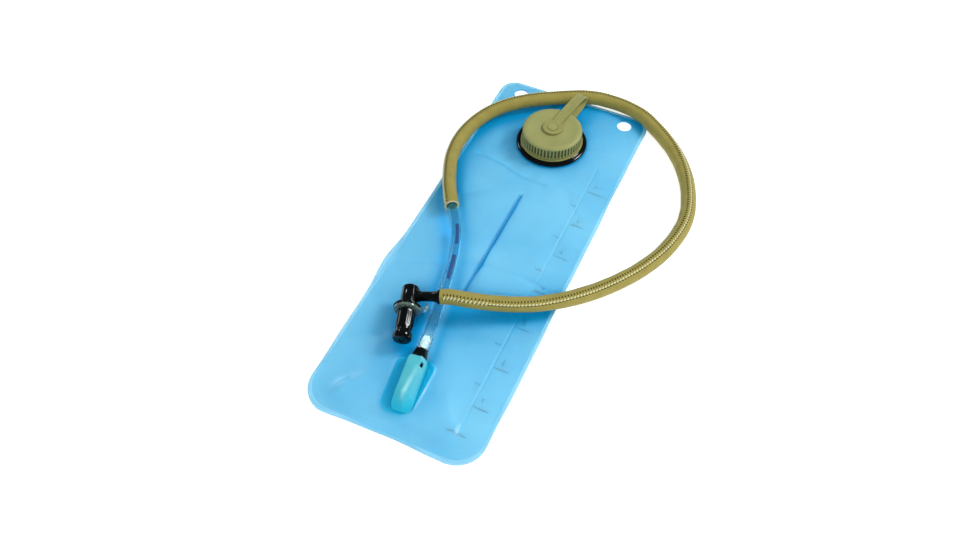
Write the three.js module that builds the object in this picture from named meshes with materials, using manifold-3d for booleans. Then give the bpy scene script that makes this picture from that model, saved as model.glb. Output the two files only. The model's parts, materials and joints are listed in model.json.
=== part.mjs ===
// A hydration bladder lying flat: a welded film reservoir with a screw cap on a tether, a quick-release
// outlet, a drink tube in a fabric sleeve and an elbow valve with a shut-off ring and a pull-open mouthpiece.
// Millimetres, +Z up. The origin is the middle of the reservoir's footprint on the surface it lies on, and
// +Y points to the filling end.

import * as THREE from 'three';
import { mergeVertices } from 'three/addons/utils/BufferGeometryUtils.js';
import Module from 'manifold-3d';

const wasm = await Module();
wasm.setup();

// ---- driving dimensions ----

const gap = 0.3; // left between pieces that touch
const slack = 0.6; // left between threads, and where a piece turns or slides
const ridgeSunk = 0.4; // how far a thread's root reaches into its wall

const pouch = {
  width: 165,
  length: 442,
  film: 0.7, // one sheet
  height: 6.6, // top of the front film over the water space
  sideWeld: 5,
  topWeld: 13,
  bottomWeld: 8,
  topCorner: 16,
  bottomCorner: 28,
  shoulder: 50, // radius of the weld line round the hang holes
  bottomSlope: 0.3, // how much shorter the film's rise is at the outlet's end
};

const hangHole = { radius: 7.5, fromSide: 23.5, fromTop: 16 };

const baffle = { length: 132, thickness: 0.8 };

const neck = {
  fromTop: 76, // its axis, from the reservoir's top edge
  radius: 25,
  wall: 3.5,
  flangeWidth: 6,
  flangeThickness: 1.3,
};

const collar = { width: 11.3, height: 3.5 };

const thread = {
  pitch: 6,
  depth: 1.6,
  root: 1.1, // half the ridge's height at its root
  crest: 0.55,
  margin: 0.1, // under the neck's rim
  aboveCapBase: 1.4,
  capStart: -3.1, // radians, opposite the neck's start
  capShorter: 0.09, // turns
};

const cap = {
  wall: 2.8,
  height: 14.6,
  top: 2.5, // thickness over the seal
  ribs: 54,
  ribDepth: 0.8,
  bandHeight: 2,
  shoulderHeight: 2.2,
};

const seal = { width: 5, thickness: 1.3, lift: 0.4 }; // lift is over the neck's rim

const tether = {
  ringWidth: 6.8,
  ringHeight: 1.2,
  hubRadius: 10.2,
  hubHeight: 2,
  strapWidth: 10,
  strapThickness: 1.6,
  beyondCap: 35.2, // from the cap's side to the far side of the fold
  heading: -8.5, // degrees from +Y, clockwise negative
};

const stud = { footRadius: 2.4, footDepth: 1.2, stemRadius: 3.2, headRadius: 5, headHeight: 0.9 };

const outlet = {
  x: -2,
  fromBottom: 69.5, // its mouth, from the reservoir's bottom edge
  heading: 8, // degrees from +Y
  axisHeight: 14.3,
  width: 18,
  length: 47,
  baseWidth: 31,
  baseLength: 52,
  baseAhead: 5,
  baseThickness: 1.3,
  socketRadius: 5.5,
  socketDepth: 22,
  drainRadius: 2.6,
};

const plug = {
  collarLength: 10.2,
  collarWide: 7.2,
  collarNarrow: 5.5,
  shaftRadius: 3.6,
  grooveDepth: 1.8, // of the seal's and the latch's grooves in the nose
  bore: 1.8,
  barbLength: 14,
  sealAt: 12, // behind the mouth
};

const latch = { size: 3, fromMouth: 7, sunk: 0.7, offGroove: 1.3, angle: 45 };

const oRing = { section: 0.45, groove: 1.6, depth: 1.1 };

const tube = { radius: 4.75, bore: 3.4, sides: 8, steps: 60 };

const sleeve = { wall: 1.4, clearance: 0.85, firstStep: 11 };

const barb = { clearance: 0.44, ridge: 0.25, pitch: 3 };

const valve = {
  x: -37.2,
  y: -98.2,
  z: 20.4,
  heading: 18, // degrees, of the stem from +X
  roll: 7, // degrees the stem rises
  tilt: 4, // degrees the mouth end falls
  wall: 3, // round the spool
  above: 8.5, // body beyond the stem's axis
  below: 11.3, // body from the stem's axis to its flange
  flangeRadius: 12.5,
  flangeThickness: 1.3,
  spoolRadius: 4.3,
  bossWall: 2.1, // round the stem's spigot
  bossLength: 10,
};

const stem = {
  radius: 4.6,
  shoulderRadius: 6.4,
  length: 28,
  spigotRadius: 3,
  spigotLength: 4.5,
  barbLength: 6,
  bore: 1.6,
};

const lockRing = {
  radius: 11,
  thickness: 2.6,
  tabReach: 18.4,
  tabWidth: 7,
  tabThickness: 1.8,
  curl: 2.2,
};

const mouth = {
  radius: 8,
  waist: 7.5,
  rim: 8.5,
  length: 29.5,
  wall: 1.1,
  hole: 2.4,
  endThickness: 2.4,
  travel: 6,
};

// ---- the drink tube's route, from the outlet to the valve ----

const route = [
  [-3.6, -140.1, 14.3],
  [-5.3, -128.0, 14.2],
  [-9.6, -104.6, 12.2],
  [-13.9, -82.0, 11.8],
  [-18.9, -60.0, 11.8],
  [-24.3, -38.0, 11.8],
  [-31.1, -17.7, 12.4],
  [-40.6, 1.2, 13.5],
  [-51.6, 17.1, 14.3],
  [-63.4, 36.3, 14.1],
  [-74.2, 57.8, 11.5],
  [-83.0, 81.2, 9.9],
  [-86.7, 104.8, 8.9],
  [-85.0, 126.9, 9.1],
  [-78.7, 146.0, 10.4],
  [-68.6, 161.5, 12.3],
  [-56.9, 174.0, 13.5],
  [-45.0, 184.8, 13.4],
  [-32.1, 195.2, 12.5],
  [-19.3, 204.8, 10.8],
  [-6.5, 213.5, 9.8],
  [7.9, 220.6, 9.6],
  [23.2, 225.6, 8.7],
  [39.6, 227.0, 8.1],
  [56.5, 224.6, 8.8],
  [73.6, 218.5, 9.7],
  [89.5, 209.1, 8.7],
  [120.6, 183.5, 7.4],
  [144.9, 146.6, 7.4],
  [157.1, 102.7, 7.4],
  [152.2, 61.0, 7.4],
  [138.9, 28.6, 7.4],
  [122.9, 3.1, 7.8],
  [106.2, -18.2, 9.0],
  [87.3, -38.5, 11.9],
  [65.8, -56.1, 15.0],
  [40.6, -71.0, 19.5],
  [15.5, -82.8, 25.0],
  [-1.9, -86.7, 25.0],
  [-10.4, -89.5, 23.9],
];

// ---- small tools ----

function clean(geometry) {
  const bare = new THREE.BufferGeometry();
  bare.setAttribute('position', geometry.getAttribute('position'));
  if (geometry.index) bare.setIndex(geometry.index);
  return mergeVertices(bare, 1e-4);
}

function solid(geometry) {
  const merged = clean(geometry);
  return new wasm.Manifold(
    new wasm.Mesh({
      numProp: 3,
      vertProperties: new Float32Array(merged.getAttribute('position').array),
      triVerts: new Uint32Array(merged.index.array),
    }),
  );
}

function toGeometry(manifold) {
  const mesh = manifold.getMesh();
  const geometry = new THREE.BufferGeometry();
  geometry.setAttribute('position', new THREE.BufferAttribute(new Float32Array(mesh.vertProperties), 3));
  geometry.setIndex(new THREE.BufferAttribute(new Uint32Array(mesh.triVerts), 1));
  geometry.computeVertexNormals();
  return geometry;
}

function cut(base, ...tools) {
  return toGeometry(tools.reduce((rest, tool) => rest.subtract(solid(tool)), solid(base)));
}

function join(base, ...others) {
  return toGeometry(others.reduce((all, other) => all.add(solid(other)), solid(base)));
}

function common(base, ...others) {
  return toGeometry(others.reduce((all, other) => all.intersect(solid(other)), solid(base)));
}

// A ring or disc turned about +Z. The profile is [radius, z] points, up the outside and down the inside.
function turned(profile, segments) {
  const closed = profile[0][0] > 0 ? [...profile, profile[0]] : profile;
  const points = closed.map(([r, z]) => new THREE.Vector2(r, z));
  return new THREE.LatheGeometry(points, segments).rotateX(Math.PI / 2);
}

// The same, turned about +Y, with heights along +Y.
function turnedY(profile, segments) {
  return turned(profile, segments).rotateX(-Math.PI / 2);
}

// The same, turned about +X, with heights along +X.
function turnedX(profile, segments) {
  return turned(profile, segments).rotateY(Math.PI / 2);
}

function disc(radius, low, high) {
  return [[0, low], [radius, low], [radius, high], [0, high]];
}

function tubeProfile(inner, outer, low, high) {
  return [[inner, low], [outer, low], [outer, high], [inner, high]];
}

function oRingGeometry(radius, section, at) {
  return new THREE.TorusGeometry(radius, section, 6, 24).translate(0, 0, at);
}

function extruded(points, low, high) {
  const shape = new THREE.Shape(points.map(([x, y]) => new THREE.Vector2(x, y)));
  const geometry = new THREE.ExtrudeGeometry(shape, { depth: high - low, bevelEnabled: false });
  return geometry.translate(0, 0, low);
}

function arc(cx, cy, radius, from, steps) {
  return Array.from({ length: steps + 1 }, (_, i) => {
    const angle = from + ((Math.PI / 2) * i) / steps;
    return [cx + radius * Math.cos(angle), cy + radius * Math.sin(angle)];
  });
}

// A rectangle with round corners, counter-clockwise from its right side.
function roundedOutline({ left, right, bottom, top, topRadius, bottomRadius, steps }) {
  return [
    ...arc(right - topRadius, top - topRadius, topRadius, 0, steps),
    ...arc(left + topRadius, top - topRadius, topRadius, Math.PI / 2, steps),
    ...arc(left + bottomRadius, bottom + bottomRadius, bottomRadius, Math.PI, steps),
    ...arc(right - bottomRadius, bottom + bottomRadius, bottomRadius, -Math.PI / 2, steps),
  ];
}

// A closed skin over outlines of equal length, each [points, z]; the first faces down and the last faces up.
function stacked(levels) {
  const count = levels[0].points.length;
  const positions = levels.flatMap(({ points, z }) => points.flatMap(([x, y]) => [x, y, z]));
  const index = [];
  for (let level = 0; level + 1 < levels.length; level++) {
    for (let i = 0; i < count; i++) {
      const a = level * count + i;
      const b = level * count + ((i + 1) % count);
      index.push(a, b, b + count, a, b + count, a + count);
    }
  }
  const lid = (level, up) => {
    const contour = levels[level].points.map(([x, y]) => new THREE.Vector2(x, y));
    for (const [a, b, c] of THREE.ShapeUtils.triangulateShape(contour, [])) {
      const start = level * count;
      index.push(start + a, start + (up ? b : c), start + (up ? c : b));
    }
  };
  lid(0, false);
  lid(levels.length - 1, true);
  const geometry = new THREE.BufferGeometry();
  geometry.setAttribute('position', new THREE.Float32BufferAttribute(positions, 3));
  geometry.setIndex(index);
  return geometry;
}

// A thread's ridge about +Z, between two radii, rising anticlockwise from startAngle.
function threadRidge({ startAngle, startZ, turns, rootRadius, crestRadius }) {
  const steps = Math.round(turns * 30);
  const outward = crestRadius > rootRadius;
  const positions = [];
  const index = [];
  for (let i = 0; i <= steps; i++) {
    const angle = startAngle + (2 * Math.PI * turns * i) / steps;
    const z = startZ + (thread.pitch * turns * i) / steps;
    const section = [
      [rootRadius, z - thread.root],
      [crestRadius, z - thread.crest],
      [crestRadius, z + thread.crest],
      [rootRadius, z + thread.root],
    ];
    for (const [r, h] of section) positions.push(r * Math.cos(angle), r * Math.sin(angle), h);
  }
  const face = (a, b, c) => (outward ? index.push(a, b, c) : index.push(a, c, b));
  for (let i = 0; i < steps; i++) {
    for (let k = 0; k < 4; k++) {
      const a = i * 4 + k;
      const b = i * 4 + ((k + 1) % 4);
      face(a, a + 4, b + 4);
      face(a, b + 4, b);
    }
  }
  const last = steps * 4;
  face(0, 1, 2);
  face(0, 2, 3);
  face(last, last + 2, last + 1);
  face(last, last + 3, last + 2);
  const geometry = new THREE.BufferGeometry();
  geometry.setAttribute('position', new THREE.Float32BufferAttribute(positions, 3));
  geometry.setIndex(index);
  return geometry;
}

// A stretch of a curve from one share of its length to another, stepped evenly along it.
class Stretch extends THREE.Curve {
  constructor(whole, from, to) {
    super();
    this.whole = whole;
    this.from = from;
    this.to = to;
  }

  getPoint(t, target = new THREE.Vector3()) {
    return this.whole.getPointAt(this.from + (this.to - this.from) * t, target);
  }
}

function ringShape(outer, inner, sides) {
  const corners = (radius, turn) =>
    Array.from({ length: sides }, (_, i) => {
      const angle = (turn * 2 * Math.PI * i) / sides;
      return new THREE.Vector2(radius * Math.cos(angle), radius * Math.sin(angle));
    });
  const shape = new THREE.Shape(corners(outer, 1));
  shape.holes.push(new THREE.Path(corners(inner, -1)));
  return shape;
}

function material(color, roughness, metalness = 0, opacity = 1) {
  return new THREE.MeshStandardMaterial({ color, roughness, metalness, opacity, transparent: opacity < 1 });
}

const finish = {
  film: material('#6cc4ee', 0.35, 0, 0.8),
  black: material('#0b0d0f', 0.25),
  tan: material('#a3a065', 0.55),
  rubber: material('#1b1c1d', 0.7),
  aqua: material('#4fc3d9', 0.25, 0, 0.85),
  white: material('#e4ecea', 0.4),
  clear: material('#9fd0e6', 0.15, 0, 0.5),
  cloth: material('#a0914b', 0.95),
  smoke: material('#7d8f86', 0.3, 0, 0.7),
};

const bladder = new THREE.Group();

function addTo(group, name, geometry, surface) {
  const mesh = new THREE.Mesh(geometry, surface);
  mesh.name = name;
  group.add(mesh);
  return mesh;
}

// ---- the reservoir ----

const rimTop = 2 * pouch.film + gap;
const filmUnderside = pouch.height - pouch.film;

// The reservoir's outline at a distance inside the weld line, or its outer edge.
function weldOutline(inside) {
  return roundedOutline({
    left: -pouch.width / 2 + pouch.sideWeld + inside,
    right: pouch.width / 2 - pouch.sideWeld - inside,
    bottom: -pouch.length / 2 + pouch.bottomWeld + inside * pouch.bottomSlope,
    top: pouch.length / 2 - pouch.topWeld - inside,
    topRadius: pouch.shoulder - inside,
    bottomRadius: Math.max(pouch.bottomCorner - inside / 2, 6),
    steps: 6,
  });
}

function edgeOutline() {
  return roundedOutline({
    left: -pouch.width / 2,
    right: pouch.width / 2,
    bottom: -pouch.length / 2,
    top: pouch.length / 2,
    topRadius: pouch.topCorner,
    bottomRadius: pouch.bottomCorner,
    steps: 6,
  });
}

function hangHoleCutters() {
  return [-1, 1].map((side) =>
    turned(disc(hangHole.radius, -1, pouch.height), 24).translate(
      side * (pouch.width / 2 - hangHole.fromSide),
      pouch.length / 2 - hangHole.fromTop,
      0,
    ),
  );
}

function backFilm() {
  return cut(extruded(edgeOutline(), 0, pouch.film), ...hangHoleCutters());
}

// How far the front film has risen, at each distance inside the weld line.
const rise = [
  { inside: 0, share: 0 },
  { inside: 5, share: 0.27 },
  { inside: 12, share: 0.63 },
  { inside: 22, share: 0.9 },
  { inside: 33, share: 1 },
];

function frontFilm() {
  const top = [
    { points: edgeOutline(), z: rimTop },
    ...rise.map(({ inside, share }) => ({
      points: weldOutline(inside),
      z: rimTop + share * (pouch.height - rimTop),
    })),
  ];
  const under = top.map(({ points, z }) => ({ points, z: z - pouch.film })).reverse();
  const neckHole = turned(disc(neck.radius + gap, -1, pouch.height + 1), 36).translate(0, neckY, 0);
  const portHole = placeOutlet(extruded(portOutline(gap), 0, pouch.height + 1));
  return cut(stacked([...under, ...top]), ...hangHoleCutters(), neckHole, portHole);
}

function innerBaffle() {
  const height = filmUnderside - gap - (pouch.film + gap);
  return new THREE.BoxGeometry(baffle.thickness, baffle.length, height).translate(
    0,
    0,
    pouch.film + gap + height / 2,
  );
}

// ---- the filling neck and its cap ----

const neckY = pouch.length / 2 - neck.fromTop;
const neckBore = neck.radius - neck.wall;
const flangeTop = filmUnderside - gap;
const collarBase = pouch.height + gap;
const collarTop = collarBase + collar.height;
const ringBase = collarTop + gap;
const ringTop = ringBase + tether.ringHeight;
const capBase = ringTop + gap;
const capTop = capBase + cap.height;
const capCeiling = capTop - cap.top;
const capBore = neck.radius + thread.depth + slack;
const capFoot = capBore + cap.wall; // between the ribs
const capRadius = capFoot + cap.ribDepth;
const collarRadius = neck.radius + collar.width;
const tetherRingRadius = neck.radius + tether.ringWidth;
const neckTop = capCeiling - gap - seal.thickness - seal.lift;
const threadStart = capBase + thread.aboveCapBase;
const threadTurns = (neckTop - thread.margin - thread.root - threadStart) / thread.pitch;

function fillNeck() {
  const body = turned(
    [
      [neckBore, flangeTop - neck.flangeThickness],
      [neck.radius + neck.flangeWidth, flangeTop - neck.flangeThickness],
      [neck.radius + neck.flangeWidth, flangeTop],
      [neck.radius, flangeTop],
      [neck.radius, neckTop],
      [neckBore, neckTop],
    ],
    36,
  );
  const ridge = threadRidge({
    startAngle: 0,
    startZ: threadStart,
    turns: threadTurns,
    rootRadius: neck.radius - ridgeSunk,
    crestRadius: neck.radius + thread.depth,
  });
  return join(body, ridge);
}

function neckCollar() {
  const inner = neck.radius + gap;
  return turned(
    [
      [inner, collarBase],
      [collarRadius - 1.3, collarBase],
      [collarRadius, collarBase + 0.2 * collar.height],
      [collarRadius, collarBase + 0.5 * collar.height],
      [collarRadius - 1.1, collarBase + 0.83 * collar.height],
      [collarRadius - 2.8, collarTop],
      [inner, collarTop],
    ],
    36,
  );
}

function capRibs() {
  const low = capBase + cap.bandHeight;
  const high = capTop - cap.shoulderHeight;
  const pitch = (2 * Math.PI) / cap.ribs;
  const points = [];
  for (let i = 0; i < cap.ribs; i++) {
    const rib = [[capFoot, 0], [capRadius, 0.12], [capRadius, 0.48], [capFoot, 0.6]];
    for (const [r, share] of rib) {
      const angle = (i + share) * pitch;
      points.push([r * Math.cos(angle), r * Math.sin(angle)]);
    }
  }
  const core = turned(disc(capFoot - 1, low - 1, high + 1), 36);
  return cut(extruded(points, low - 0.1, high + 0.1), core);
}

function capShell() {
  const body = turned(
    [
      [0, capCeiling],
      [capBore, capCeiling],
      [capBore, capBase],
      [capRadius, capBase],
      [capRadius, capBase + cap.bandHeight],
      [capFoot, capBase + cap.bandHeight],
      [capFoot, capTop - cap.shoulderHeight],
      [capRadius, capTop - cap.shoulderHeight],
      [capRadius - 0.4, capTop - 0.8],
      [capRadius - 2, capTop],
      [0, capTop],
    ],
    54,
  );
  const ridge = threadRidge({
    startAngle: thread.capStart,
    startZ: threadStart + thread.pitch * (0.5 + thread.capStart / (2 * Math.PI)),
    turns: threadTurns - thread.capShorter,
    rootRadius: capBore + ridgeSunk,
    crestRadius: neck.radius + slack,
  });
  const studHole = turned(disc(stud.footRadius + gap, capTop - stud.footDepth - gap, capTop + 1), 24);
  const whole = join(body, capRibs(), ridge);
  return cut(whole, studHole).translate(0, neckY, 0);
}

function capSeal() {
  const outer = neck.radius + thread.depth;
  const top = capCeiling - gap;
  const profile = tubeProfile(outer - seal.width, outer, top - seal.thickness, top);
  return turned(profile, 36).translate(0, neckY, 0);
}

function capStud() {
  const hubBase = capTop + gap;
  const headBase = hubBase + tether.hubHeight - stud.headHeight;
  const headTop = headBase + stud.headHeight + gap;
  return turned(
    [
      [0, capTop - stud.footDepth],
      [stud.footRadius, capTop - stud.footDepth],
      [stud.footRadius, capTop + gap],
      [stud.stemRadius, capTop + gap],
      [stud.stemRadius, headBase],
      [stud.headRadius, headBase],
      [stud.headRadius, headTop],
      [0, headTop],
    ],
    24,
  ).translate(0, neckY, 0);
}

function tetherHub() {
  const base = capTop + gap;
  const top = base + tether.hubHeight;
  const ledge = top - stud.headHeight - gap;
  return turned(
    [
      [stud.stemRadius + gap, base],
      [tether.hubRadius, base],
      [tether.hubRadius, top - 0.4],
      [tether.hubRadius - 0.4, top],
      [stud.headRadius + gap, top],
      [stud.headRadius + gap, ledge],
      [stud.stemRadius + gap, ledge],
    ],
    30,
  ).translate(0, neckY, 0);
}

function tetherRing() {
  const profile = tubeProfile(neck.radius + gap, tetherRingRadius, ringBase, ringTop);
  return turned(profile, 36).translate(0, neckY, 0);
}

// The strap leaves the hub, folds beyond the cap and comes back to the ring; [distance from the axis, z].
function tetherStrap() {
  const upper = capTop + gap + tether.strapThickness / 2;
  const lower = ringBase + tether.strapThickness / 2;
  const middle = (upper + lower) / 2;
  const reach = capRadius + tether.beyondCap;
  const line = new THREE.CatmullRomCurve3(
    [
      [tether.hubRadius + gap, upper],
      [capRadius, upper + 0.2],
      [reach - 14, upper - 1.6],
      [reach - 4, upper - 4.6],
      [reach - 1, middle],
      [reach - 6, lower + 2.6],
      [collarRadius + 8, lower + 0.5],
      [tetherRingRadius + 2, lower],
      [tetherRingRadius + gap, lower],
    ].map(([x, y]) => new THREE.Vector3(x, y, 0)),
  );
  const steps = 30;
  const side = (sign) =>
    Array.from({ length: steps + 1 }, (_, i) => {
      const point = line.getPointAt(i / steps);
      const along = line.getTangentAt(i / steps);
      const offset = (sign * tether.strapThickness) / 2;
      return [point.x - along.y * offset, point.y + along.x * offset];
    });
  const strip = [...side(-1), ...side(1).reverse()];
  return extruded(strip, -tether.strapWidth / 2, tether.strapWidth / 2)
    .rotateX(Math.PI / 2)
    .rotateZ(Math.PI / 2 + THREE.MathUtils.degToRad(tether.heading))
    .translate(0, neckY, 0);
}

// ---- the outlet, in its own frame: mouth at the origin, hose along +Y ----

function placeOutlet(geometry) {
  return geometry
    .rotateZ(THREE.MathUtils.degToRad(outlet.heading))
    .translate(outlet.x, outlet.fromBottom - pouch.length / 2, 0);
}

function portOutline(grow) {
  return roundedOutline({
    left: -outlet.width / 2 - grow,
    right: outlet.width / 2 + grow,
    bottom: -outlet.length - grow,
    top: grow,
    topRadius: 1.5,
    bottomRadius: outlet.width / 2 - 1,
    steps: 4,
  });
}

// A piece turned about the outlet's own axis.
function outletTurned(profile, segments) {
  return turnedY(profile, segments).translate(0, 0, outlet.axisHeight);
}

function latchBlock(size, from, to) {
  return new THREE.BoxGeometry(size, size, to - from)
    .translate(0, 0, (from + to) / 2)
    .rotateY(THREE.MathUtils.degToRad(latch.angle))
    .translate(0, -latch.fromMouth, outlet.axisHeight);
}

function outletPort() {
  const low = flangeTop - outlet.baseThickness;
  const crown = outlet.axisHeight + outlet.width / 2;
  const plan = extruded(portOutline(0), low, crown + 1);
  const side = extruded(
    [
      [-outlet.length - 1, low - 1],
      [1, low - 1],
      [1, crown],
      [-12, crown - 0.8],
      [-30, crown - 6],
      [-outlet.length + 3, pouch.height + 3],
      [-outlet.length - 1, pouch.height + 1],
    ],
    -outlet.width,
    outlet.width,
  )
    .rotateX(Math.PI / 2)
    .rotateZ(Math.PI / 2);
  const half = outlet.width / 2;
  const arch = Array.from({ length: 13 }, (_, i) => {
    const angle = (Math.PI * i) / 12;
    return [half * Math.cos(angle), outlet.axisHeight + half * Math.sin(angle)];
  });
  const across = extruded([[-half, low - 1], [half, low - 1], ...arch], -2, outlet.length + 2)
    .rotateX(Math.PI / 2);
  const body = common(plan, side, across);
  const base = extruded(
    roundedOutline({
      left: -outlet.baseWidth / 2,
      right: outlet.baseWidth / 2,
      bottom: outlet.baseAhead - outlet.baseLength,
      top: outlet.baseAhead,
      topRadius: 7,
      bottomRadius: 11,
      steps: 4,
    }),
    low,
    flangeTop,
  );
  const socket = outletTurned(disc(outlet.socketRadius, -outlet.socketDepth, 1), 24);
  const drain = turned(disc(outlet.drainRadius, low - 1, outlet.axisHeight), 16)
    .translate(0, -outlet.socketDepth + outlet.drainRadius, 0);
  const window = latchBlock(latch.size + slack, 2, outlet.width);
  return placeOutlet(cut(join(body, base), socket, drain, window));
}

function plugCollar() {
  return placeOutlet(
    outletTurned(
      [
        [plug.shaftRadius + gap, gap],
        [plug.collarWide, gap],
        [plug.collarWide, gap + 1],
        [plug.collarNarrow, gap + plug.collarLength],
        [plug.shaftRadius + gap, gap + plug.collarLength],
      ],
      24,
    ),
  );
}

const barbRadius = tube.bore * Math.cos(Math.PI / tube.sides) - barb.clearance;

// A barb's outside from its root to its tip, as [radius, distance] points going away from the root.
function barbProfile(from, to) {
  const points = [];
  const count = Math.floor((to - from) / barb.pitch);
  for (let i = 0; i < count; i++) {
    const at = from + i * barb.pitch;
    points.push([barbRadius, at + 0.4]);
    points.push([barbRadius - 2 * barb.ridge, at + barb.pitch]);
  }
  return points;
}

const plugGroove = outlet.socketRadius - gap - plug.grooveDepth;

function hosePlug() {
  const nose = outlet.socketRadius - gap;
  const end = -(outlet.socketDepth - 2 * outlet.drainRadius - gap);
  const root = gap + plug.collarLength;
  const tip = root + plug.barbLength;
  const sealAt = -plug.sealAt;
  return placeOutlet(
    outletTurned(
      [
        [plug.bore, end],
        [nose, end],
        [nose, sealAt - oRing.groove / 2],
        [plugGroove, sealAt - oRing.groove / 2],
        [plugGroove, sealAt + oRing.groove / 2],
        [nose, sealAt + oRing.groove / 2],
        [nose, -latch.fromMouth - latch.size / 2 - gap],
        [plugGroove, -latch.fromMouth - latch.size / 2 - gap],
        [plugGroove, -latch.fromMouth + latch.size / 2 + gap],
        [nose, -latch.fromMouth + latch.size / 2 + gap],
        [nose, -gap],
        [plug.shaftRadius, -gap],
        [plug.shaftRadius, root],
        ...barbProfile(root, tip),
        [plug.bore, root + Math.floor(plug.barbLength / barb.pitch) * barb.pitch],
      ],
      20,
    ),
  );
}

function plugORing() {
  const section = oRing.section + 0.1;
  const ring = oRingGeometry(plugGroove + gap + section, section, 0);
  return placeOutlet(ring.rotateX(Math.PI / 2).translate(0, -plug.sealAt, outlet.axisHeight));
}

function latchButton() {
  return placeOutlet(latchBlock(latch.size, plugGroove + latch.offGroove, outlet.width / 2 - latch.sunk));
}

// ---- the drink tube and its sleeve ----

const hoseLine = new THREE.CatmullRomCurve3(route.map(([x, y, z]) => new THREE.Vector3(x, y, z)));
hoseLine.arcLengthDivisions = 2000;

function drinkTube() {
  return new THREE.ExtrudeGeometry(ringShape(tube.radius, tube.bore, tube.sides), {
    steps: tube.steps,
    bevelEnabled: false,
    extrudePath: new Stretch(hoseLine, 0, 1),
  });
}

function tubeSleeve() {
  const bore = tube.radius + sleeve.clearance;
  return new THREE.ExtrudeGeometry(ringShape(bore + sleeve.wall, bore, tube.sides), {
    steps: tube.steps - sleeve.firstStep,
    bevelEnabled: false,
    extrudePath: new Stretch(hoseLine, sleeve.firstStep / tube.steps, 1),
  });
}

// ---- the valve, in its own frame: stem along +X, mouth along -Y ----

const valveGroup = new THREE.Group();
valveGroup.position.set(valve.x, valve.y, valve.z);
valveGroup.rotation.set(
  THREE.MathUtils.degToRad(valve.tilt),
  THREE.MathUtils.degToRad(-valve.roll),
  THREE.MathUtils.degToRad(valve.heading),
  'ZYX',
);
bladder.add(valveGroup);

// Distances below are from the stem's axis towards the mouth; a profile turned by mouthTurned runs that way.
function mouthTurned(profile, segments) {
  return turned(profile, segments).rotateX(Math.PI / 2);
}

const elbowRadius = valve.spoolRadius + gap + valve.wall;
const flangeFace = valve.below + valve.flangeThickness;
const ringFace = flangeFace + gap;
const ringEnd = ringFace + lockRing.thickness;
const mouthStart = ringEnd + gap;
const mouthEnd = mouthStart + mouth.length;
const nozzleRadius = mouth.waist - mouth.wall - gap;
const spoolBore = 1.9;
const spoolSealAt = valve.below - 3;
const mouthSealAt = mouthStart + 9;

function valveElbow() {
  const body = mouthTurned(
    [
      [0, -valve.above],
      [elbowRadius - 0.6, -valve.above],
      [elbowRadius, -valve.above + 0.6],
      [elbowRadius, valve.below],
      [valve.flangeRadius, valve.below],
      [valve.flangeRadius, flangeFace],
      [0, flangeFace],
    ],
    28,
  );
  const boss = turnedX(disc(stem.spigotRadius + gap + valve.bossWall, 0, valve.bossLength), 20);
  const spoolSeat = mouthTurned(disc(valve.spoolRadius + gap, -valve.spoolRadius - gap, flangeFace + 1), 20);
  const spigotSeat = turnedX(disc(stem.spigotRadius + gap, 0, valve.bossLength + 1), 16);
  return cut(join(body, boss), spoolSeat, spigotSeat);
}

function valveStem() {
  const start = valve.bossLength - stem.spigotLength + gap;
  const root = valve.bossLength + gap;
  const tip = stem.length + stem.barbLength;
  return turnedX(
    [
      [stem.bore, start],
      [stem.spigotRadius, start],
      [stem.spigotRadius, root],
      [stem.radius, root],
      [stem.radius, stem.length - 5],
      [stem.shoulderRadius, stem.length - 1.5],
      [stem.shoulderRadius, stem.length],
      ...barbProfile(stem.length, tip),
      [stem.bore, tip],
    ],
    20,
  );
}

function shutoffRing() {
  const ring = mouthTurned(tubeProfile(nozzleRadius + gap, lockRing.radius, ringFace, ringEnd), 28);
  const from = nozzleRadius + 2;
  const reach = lockRing.tabReach;
  const depth = lockRing.tabThickness;
  const tab = extruded(
    [
      [from, -ringFace - depth],
      [reach - 4, -ringFace - depth],
      [reach, -ringFace - depth + lockRing.curl],
      [reach, -ringFace + lockRing.curl],
      [reach - 3.4, -ringFace],
      [from, -ringFace],
    ],
    -lockRing.tabWidth / 2,
    lockRing.tabWidth / 2,
  );
  return join(ring, tab);
}

// The spool turns in the elbow; its nozzle carries the mouthpiece, and the pin at its tip plugs the hole.
function shutoffSpool() {
  const inner = -valve.spoolRadius;
  const nozzleEnd = mouthEnd - mouth.endThickness - mouth.travel - gap;
  const groove = valve.spoolRadius - oRing.depth;
  const nozzleGroove = nozzleRadius - oRing.depth;
  const pinRadius = mouth.hole - slack;
  const body = mouthTurned(
    [
      [0, inner],
      [valve.spoolRadius, inner],
      [valve.spoolRadius, spoolSealAt - oRing.groove / 2],
      [groove, spoolSealAt - oRing.groove / 2],
      [groove, spoolSealAt + oRing.groove / 2],
      [valve.spoolRadius, spoolSealAt + oRing.groove / 2],
      [valve.spoolRadius, flangeFace + gap],
      [nozzleRadius, flangeFace + gap],
      [nozzleRadius, mouthSealAt - oRing.groove / 2],
      [nozzleGroove, mouthSealAt - oRing.groove / 2],
      [nozzleGroove, mouthSealAt + oRing.groove / 2],
      [nozzleRadius, mouthSealAt + oRing.groove / 2],
      [nozzleRadius, nozzleEnd],
      [pinRadius, nozzleEnd],
      [pinRadius, mouthEnd - 0.6],
      [0, mouthEnd - 0.6],
    ],
    20,
  );
  const along = mouthTurned(disc(spoolBore, -spoolBore, nozzleEnd - 3), 16);
  const acrossStem = turnedX(disc(spoolBore, 0, elbowRadius), 16);
  const sidePort = turnedX(disc(spoolBore, 0, valve.flangeRadius), 16).translate(0, -(nozzleEnd - 5), 0);
  return cut(body, along, acrossStem, sidePort);
}

function spoolORing() {
  const radius = valve.spoolRadius - oRing.depth + gap + oRing.section;
  return oRingGeometry(radius, oRing.section, spoolSealAt).rotateX(Math.PI / 2);
}

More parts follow.
